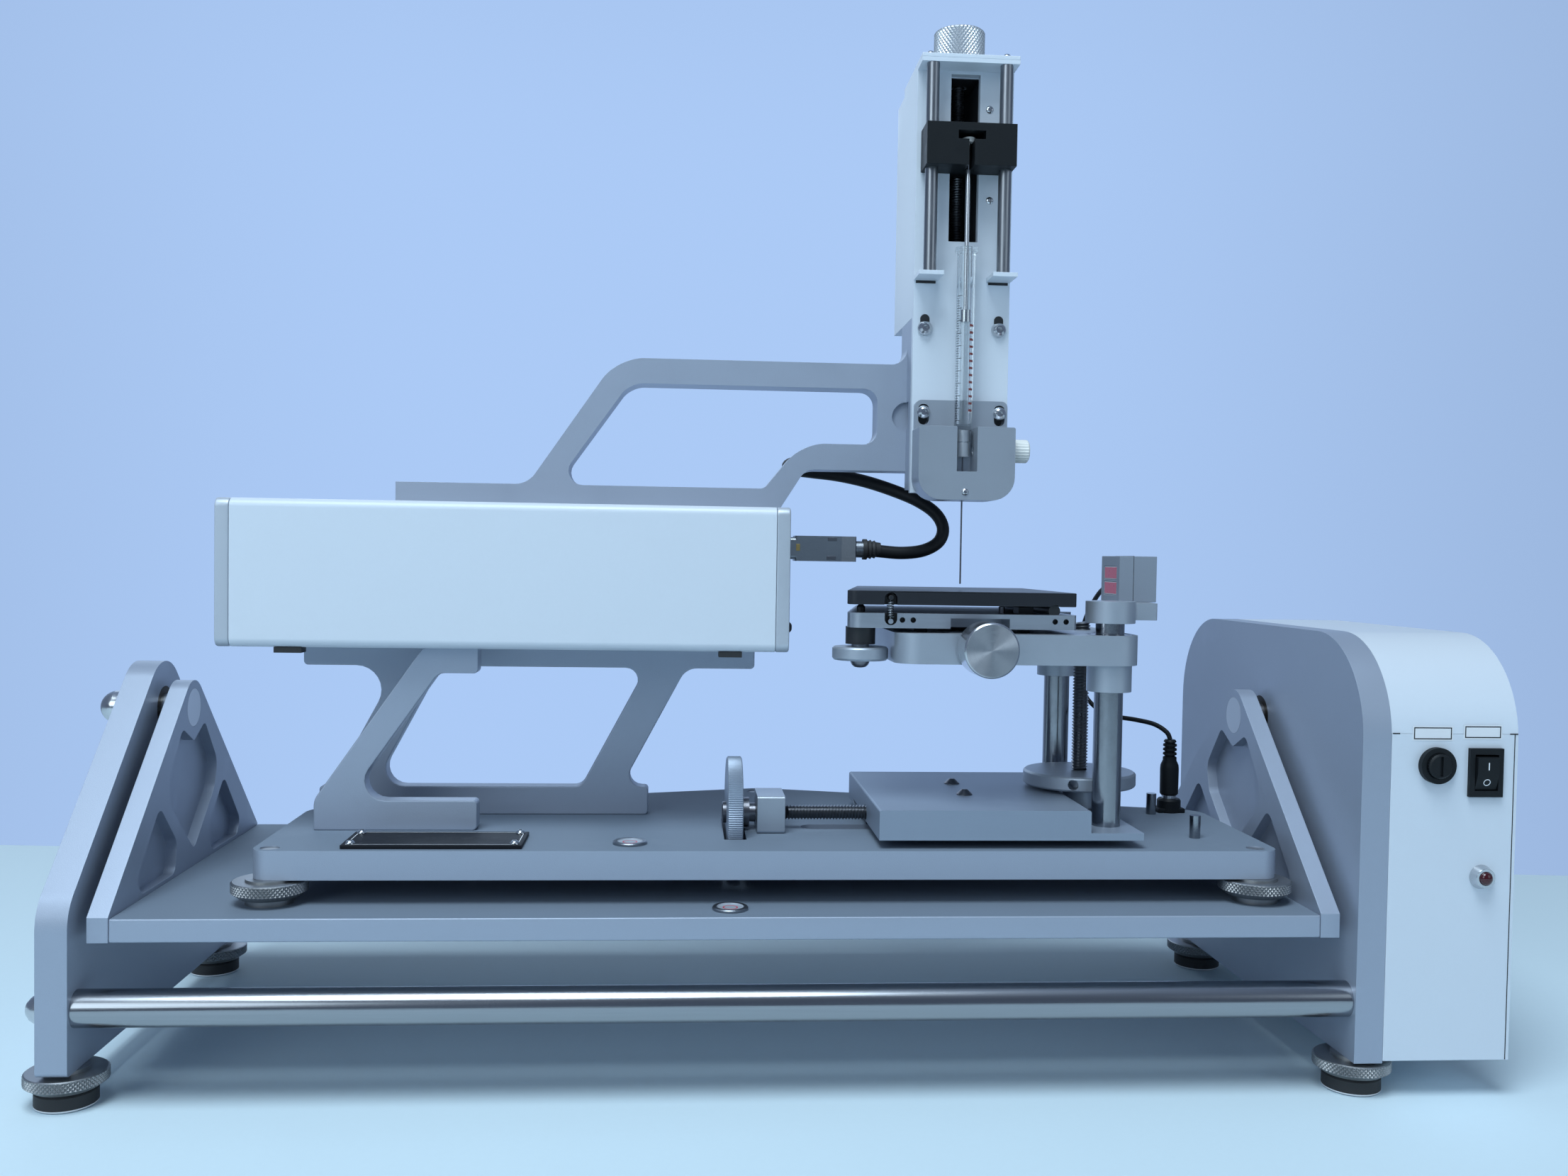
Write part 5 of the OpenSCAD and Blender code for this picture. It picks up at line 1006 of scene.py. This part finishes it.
SCREWS = [
    ("tube_screw_front", (-280.6, 9, 41.2), "-X", 13, 6.2, 5.0, "frame"),
    ("tube_screw_rear", (-280.6, 203, 41.2), "-X", 13, 6.2, 5.0, "frame"),
    ("head_screw_left", (93.4, 104.5, 343), "-Y", 7.4, 3.6, 2.2, "cradle"),
    ("head_screw_right", (130.0, 104.5, 343), "-Y", 7.4, 3.6, 2.2, "cradle"),
    ("plate_screw_upper", (123.5, 104.5, 450.1), "-Y", 3.8, 0.75, 1.4, "cradle"),
    ("plate_screw_lower", (124.3, 104.5, 406.0), "-Y", 3.8, 0.75, 1.4, "cradle"),
    ("shelf_screw_left", (92.8, 99.5, 301.6), "-Y", 6.5, 2.4, 2.2, "cradle"),
    ("shelf_screw_right", (130.2, 99.5, 301.6), "-Y", 6.5, 2.4, 2.2, "cradle"),
    ("clamp_screw_small", (110.8, 84, 262.4), "-Y", 3.4, 0.8, 1.5, "cradle"),
    ("plate_pin_1", (-164.5, 33.2, 103.9), "+Z", 4.2, 1.5, 1.6, "cradle"),
    ("plate_pin_2", (-94.5, 33.2, 103.9), "+Z", 4.2, 1.5, 1.6, "cradle"),
    ("plate_pin_3", (-164.5, 55.8, 103.9), "+Z", 4.2, 1.5, 1.6, "cradle"),
    ("plate_pin_4", (-94.5, 55.8, 103.9), "+Z", 4.2, 1.5, 1.6, "cradle"),
    ("cap_screw_left", (92.4, 96.5, 472.1), "+Z", 4.6, 2.0, 1.6, "cradle"),
    ("cap_screw_right", (129.6, 96.5, 472.1), "+Z", 4.6, 2.0, 1.6, "cradle"),
]
for name, place, way, diameter, height, key, body in SCREWS:
    screw = stand(button_screw(diameter, height, key), at(*place), way)
    done(screw, name, body, bright, 30)
print("screws:", len(SCREWS))

# %% [markdown]
# Long round-ended plates: a filled circle is pulled apart at its middle and then extruded. They are black sheets
# that paint the shade inside the keyholes behind the head's screws and in the ends of the two slots in the shelf
# below.

# %% Keyholes and slots
def stadium(width, height, depth):
    rest()
    bpy.ops.mesh.primitive_circle_add(vertices=32, radius=width / 2 * MM, fill_type="NGON", location=(0, 0, 0),
                                      rotation=(0, 0, math.pi / 32))
    obj = bpy.context.object
    settle(obj)
    mesh = edit(obj)
    for v in mesh.verts:
        v.select_set(v.co.y > 0)
    mesh.select_flush_mode()
    bmesh.update_edit_mesh(obj.data)
    bpy.ops.transform.translate(value=(0, (height - width) * MM, 0))
    bpy.ops.mesh.select_all(action="SELECT")
    bpy.ops.transform.translate(value=(0, -(height - width) / 2 * MM, 0))
    bpy.ops.mesh.extrude_region_move(TRANSFORM_OT_translate={"value": (0, 0, depth * MM)})
    outward()
    return obj


# painted shade: black sheets where the open keyholes and slot ends show dark
SLOTS = [("keyhole_shade_left", (93.4, 104.6, 344.6), 4.6, 10.5), ("keyhole_shade_right", (130.0, 104.6, 344.6), 4.6, 10.5),
         ("slot_shade_left", (92.8, 104.6, 300.7), 5.0, 9.6), ("slot_shade_right", (130.2, 104.6, 300.7), 5.0, 9.6)]
for name, place, width, height in SLOTS:
    done(stand(stadium(width, height, 0.35), at(*place), "-Y"), name, "cradle", black_moulded)
print("slots:", len(SLOTS))

# %% [markdown]
# Behind the head's long slot lies the screw's dark well. A cube is inset at its front and that face is pushed
# in, so it becomes an open tray. A hole through its two ends lets the drive screw pass.

# %% Well behind the head's slot
well = brick((103.0, 109.1, 385.9), (120.0, 134.5, 466.5))
pick(well, lambda c, n: n.y < -0.9)
bpy.ops.mesh.inset(thickness=0.8 * MM)
bpy.ops.mesh.extrude_region_move(TRANSFORM_OT_translate={"value": (0, 24.4 * MM, 0)})
rest()
drill(well, black_moulded, [(*DRIVE_AXIS, 468)], "+Z", 8.0, 90)
done(well, "screw_well", "cradle", black_moulded)
print("well faces", len(well.data.polygons))

# %% [markdown]
# The syringe's scale is a row of fine printed lines. One line is a short piece of a thin ring: the rest of the ring
# is deleted, Solidify gives it a thickness and Array repeats it up the barrel. Every fifth line is longer, and a row
# of dark red dashes stands beside them.

# %% Syringe scale
def scale_lines(name, finish, low, step, count, tall, first, reach):
    rest()
    bpy.ops.mesh.primitive_cylinder_add(vertices=120, radius=4.42 * MM, depth=tall * MM, end_fill_type="NOTHING",
                                        location=(0, 0, low * MM))
    obj = bpy.context.object
    settle(obj)
    start = math.radians(first)
    pick(obj, lambda c, n: not start < math.atan2(c.y, c.x) < start + math.radians(reach))
    bpy.ops.mesh.delete(type="FACE")
    rest()
    modified(obj, "SOLIDIFY", thickness=0.05 * MM, offset=1.0)
    modified(obj, "ARRAY", count=count, use_relative_offset=False, use_constant_offset=True,
             constant_offset_displace=(0, 0, step * MM))
    stand(obj, at(*SYRINGE_AXIS, 0))
    return done(obj, name, "cradle", finish)


fine_lines = scale_lines("scale_fine", ink, 297.0, 1.2, 51, 0.24, -164, 24)
long_lines = scale_lines("scale_long", ink, 297.0, 6.0, 11, 0.28, -164, 42)
scale_lines("scale_red", scale_red, 302.0, 3.4, 13, 1.1, -72, 30)
print("scale lines", len(fine_lines.data.polygons), len(long_lines.data.polygons))

# %% [markdown]
# The base carries a plain black plate and two round bubble levels lie on the base and on the cradle. The plate's
# top face is inset twice, and the narrow ring between gets a pale line. No text is put on it. A level is a turned
# cup with a grey floor, and the faces of one ring on that floor get the red mark.

# %% Plate and bubble levels
plate = brick((-168, 29.5, 102.25), (-91, 59.5, 103.9))
softened(plate, 0.25)
pick(plate, lambda c, n: n.z > 0.95)
bpy.ops.mesh.inset(thickness=1.6 * MM)
bpy.ops.mesh.inset(thickness=0.35 * MM)
rest()
done(plate, "blank_plate", "cradle", plate_black)
line_faces = paint(plate, label_card, lambda c, n: n.z > 0.95 and (
    1.6 < c.x + 168 < 2.1 or 1.6 < -91 - c.x < 2.1 or 1.6 < c.y - 29.5 < 2.1 or 1.6 < 59.5 - c.y < 2.1))


def bubble_level(name, x, y, z, radius):
    cup = lathe([(-0.2, radius), (0.9, radius), (1.3, radius - 0.4), (1.3, radius - 2.0), (0.8, radius - 2.1),
                 (0.8, 3.3), (0.8, 2.7), (0.8, 0.4)], 48)
    stand(cup, at(x, y, z))
    done(cup, name, "cradle", nickel)
    paint(cup, cap_grey, lambda c, n: near(c, x, y, radius - 2.05))
    paint(cup, red_window, lambda c, n: 2.7 < math.hypot(c.x - x, c.y - y) < 3.3)


bubble_level("base_level", -45, 41.7, 102.2, 7.6)
bubble_level("cradle_level", -1.1, 19.3, 78.6, 7.8)
print("plate line faces", line_faces)

# %% [markdown]
# The cover's panel: the fuse cap is turned, fluted and slotted, the rocker has its two plain marks, the indicator
# gets a domed lens and two small cards stay blank inside a printed border. The open seam beside the panel is a dark
# strip, which costs less than cutting the sheet.

# %% Panel pieces
cap = lathe([(0, 4.5), (0.3, 5.0)] + band(0.7, 4.4, 1, 5.45) + [(4.8, 5.2), (20, 5.2)], 60)
knurl(cap, 5.45, 0.7, 4.4, 0.22, 60, True)
fuse_knob = stand(cap, at(300.4, -5, 145), "+Y")
cut(fuse_knob, brick((299.75, -6, 140.8), (301.05, -4.1, 149.2)), ink)
done(fuse_knob, "fuse_knob", "fuse_cap", deep_black, 26, ("fuse_cap",))
on_mark = done(brick((322.1, -3.64, 143.4), (322.5, -3.3, 146.6)), "on_mark", "switch_rocker",
               label_card)
rest()
bpy.ops.mesh.primitive_torus_add(major_radius=1.4 * MM, minor_radius=0.17 * MM, major_segments=32, minor_segments=10,
                                 location=at(322.3, -2.22, 137.9), rotation=(math.radians(108.7), 0, 0))
off_mark = done(bpy.context.object, "off_mark", "switch_rocker", label_card)
dome = lathe([(0, 2.85), (3.2, 2.85), (3.9, 2.5), (4.5, 1.7), (4.8, 0.6)], 32)
indicator = done(stand(dome, at(322.2, -1.05, 96.7), "-Y"), "indicator_lens", "frame", red_lens, 60)
CARDS = [("fuse_card", 289.8, 307.7, 155.6, 161.8), ("power_card", 312.6, 329.7, 156.3, 162.4)]
for name, x0, x1, z0, z1 in CARDS:
    card = brick((x0, -0.12, z0), (x1, 0.0, z1))
    pick(card, lambda c, n: n.y < -0.9)
    bpy.ops.mesh.inset(thickness=0.5 * MM)
    bpy.ops.mesh.inset(thickness=0.5 * MM)
    rest()
    done(card, name, "frame", label_card)
    border = [x0 + 0.75, x1 - 0.75, z0 + 0.75, z1 - 0.75]
    paint(card, ink, lambda c, n: n.y < -0.9 and (min(abs(c.x - border[0]), abs(c.x - border[1])) < 0.05
                                                 or min(abs(c.z - border[2]), abs(c.z - border[3])) < 0.05))
seam = join(brick((335.4, -0.08, 16.8), (335.8, 0.05, 158.6)), brick((333.4, -0.08, 158.3), (337.0, 0.05, 158.8)),
            brick((281.0, -0.08, 158.3), (284.2, 0.05, 158.8)))
done(seam, "cover_seam", "frame", ink)
print("panel pieces:", [o.name for o in (fuse_knob, on_mark, off_mark, indicator)])

# %% [markdown]
# The small table hangs on a spring in a notch of its front edge. The wire runs straight at both ends and winds six
# times between: the route is worked out point by point and gets a round section, as the leads did.

# %% Table spring
SPRING_AXIS = (70, 46.3)
COIL_RADIUS, COIL_LOW, COIL_RISE, COIL_TURNS, COIL_STEPS = 1.45, 203.9, 6.7, 6, 20
coil = [(*SPRING_AXIS, 203.1), (*SPRING_AXIS, 203.8)]
for k in range(COIL_TURNS * COIL_STEPS + 1):
    turn_by = 2 * math.pi * k / COIL_STEPS
    coil.append((SPRING_AXIS[0] + COIL_RADIUS * math.cos(turn_by), SPRING_AXIS[1] + COIL_RADIUS * math.sin(turn_by),
                 COIL_LOW + COIL_RISE * k / (COIL_TURNS * COIL_STEPS)))
coil += [(*SPRING_AXIS, 210.7), (*SPRING_AXIS, 211.4)]
coil_line = [at(*v) for v in coil]
spring = tube("spring_wire", coil_line, 0.5, 8)
spring.data.materials.append(nickel)
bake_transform(spring)
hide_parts("table_spring")
print("spring faces", len(spring.data.polygons))

# %% [markdown]
# Last come small fittings that are blocks or discs: the two lit windows and the seam of the lamp, the glass of the
# housing's port, the pads and the screw of the housing, dark strips of painted shade under the rods' tabs, the stops
# between the table's plates, the catches of the hooded plug and the cone-headed screws of the carriage.

# %% Small fittings
BLOCKS = [
    ("window_frame_lower", (186.2, 85.6, 214.3), (186.55, 104.4, 220.5), "lamp_box", "white_plastic", label_card),
    ("window_frame_upper", (186.2, 85.6, 221.7), (186.55, 104.4, 227.9), "lamp_box", "white_plastic", label_card),
    ("window_lower", (186.1, 86.0, 214.7), (186.3, 104.0, 220.1), "lamp_box", "glass", red_window),
    ("window_upper", (186.1, 86.0, 222.1), (186.3, 104.0, 227.5), "lamp_box", "glass", red_window),
    ("lamp_seam", (192.85, 80.94, 211.5), (193.15, 109.06, 233.16), "lamp_box", "black_plastic", ink),
    # painted shade: dark strips under the rods' tabs
    ("tab_shade_left", (88.6, 104.3, 364.9), (98.4, 104.7, 366.2), "head_plate", "black_plastic", ink),
    ("tab_shade_right", (124.4, 104.3, 364.9), (134.2, 104.7, 366.2), "head_plate", "black_plastic", ink),
    ("pad_left", (-204.6, 60.0, 183.8), (-192.5, 68.0, 186.35), "housing_shell", "rubber", rubber),
    ("pad_right", (-6.4, 60.0, 183.8), (4.2, 68.0, 186.35), "housing_shell", "rubber", rubber),
    ("table_stop", (131, 56, 205.6), (138, 66, 208.6), "table_lower", "black_plastic", black_moulded),
    ("plug_catch_upper", (48.8, 116.85, 238.3), (53.4, 118, 240.0), "drive_plug", "dark_metal", dark_oxide),
    ("plug_catch_lower", (48.4, 116.85, 229.0), (53.0, 118, 230.8), "drive_plug", "dark_metal", dark_oxide),
    ("plug_pin", (33.0, 116.85, 233.2), (35.0, 118, 236.6), "drive_plug", "dark_metal", gold),
]
for name, low, high, node, slot, finish in BLOCKS:
    piece = brick(low, high)
    softened(piece, 0.08, 1)
    done(piece, name, BODY_OF[node], finish)
port = lathe([(0, 14.9), (0.6, 14.9), (0.9, 14.5), (0.9, 0.5)], 64)
done(stand(port, at(23.65, 95, 219.45), "+X"), "port_glass", BODY_OF["housing_caps"], dark_glass)
stop_pin = lathe([(0, 1.4), (3.0, 1.4), (3.2, 1.2)], 24)
done(stand(stop_pin, at(124, 60, 205.5)), "table_pin", BODY_OF["table_lower"], dark_oxide)
cap_screw = stand(button_screw(5.0, 1.6, 2.2), at(25.6, 65.8, 197.6), "+X")
done(cap_screw, "housing_screw", BODY_OF["housing_caps"], black_moulded, 30)
CONES = [("carriage_screw_rear", 111.0, 103.2), ("carriage_screw_front", 110.8, 72.0)]
for name, x, y in CONES:
    cone = lathe([(-0.2, 3.75), (0.4, 3.75), (2.0, 2.0), (2.6, 1.2)], 32)
    done(stand(cone, at(x, y, 119.3)), name, "carriage", dark_oxide)
print("small fittings:", len(BLOCKS) + len(CONES) + 3)
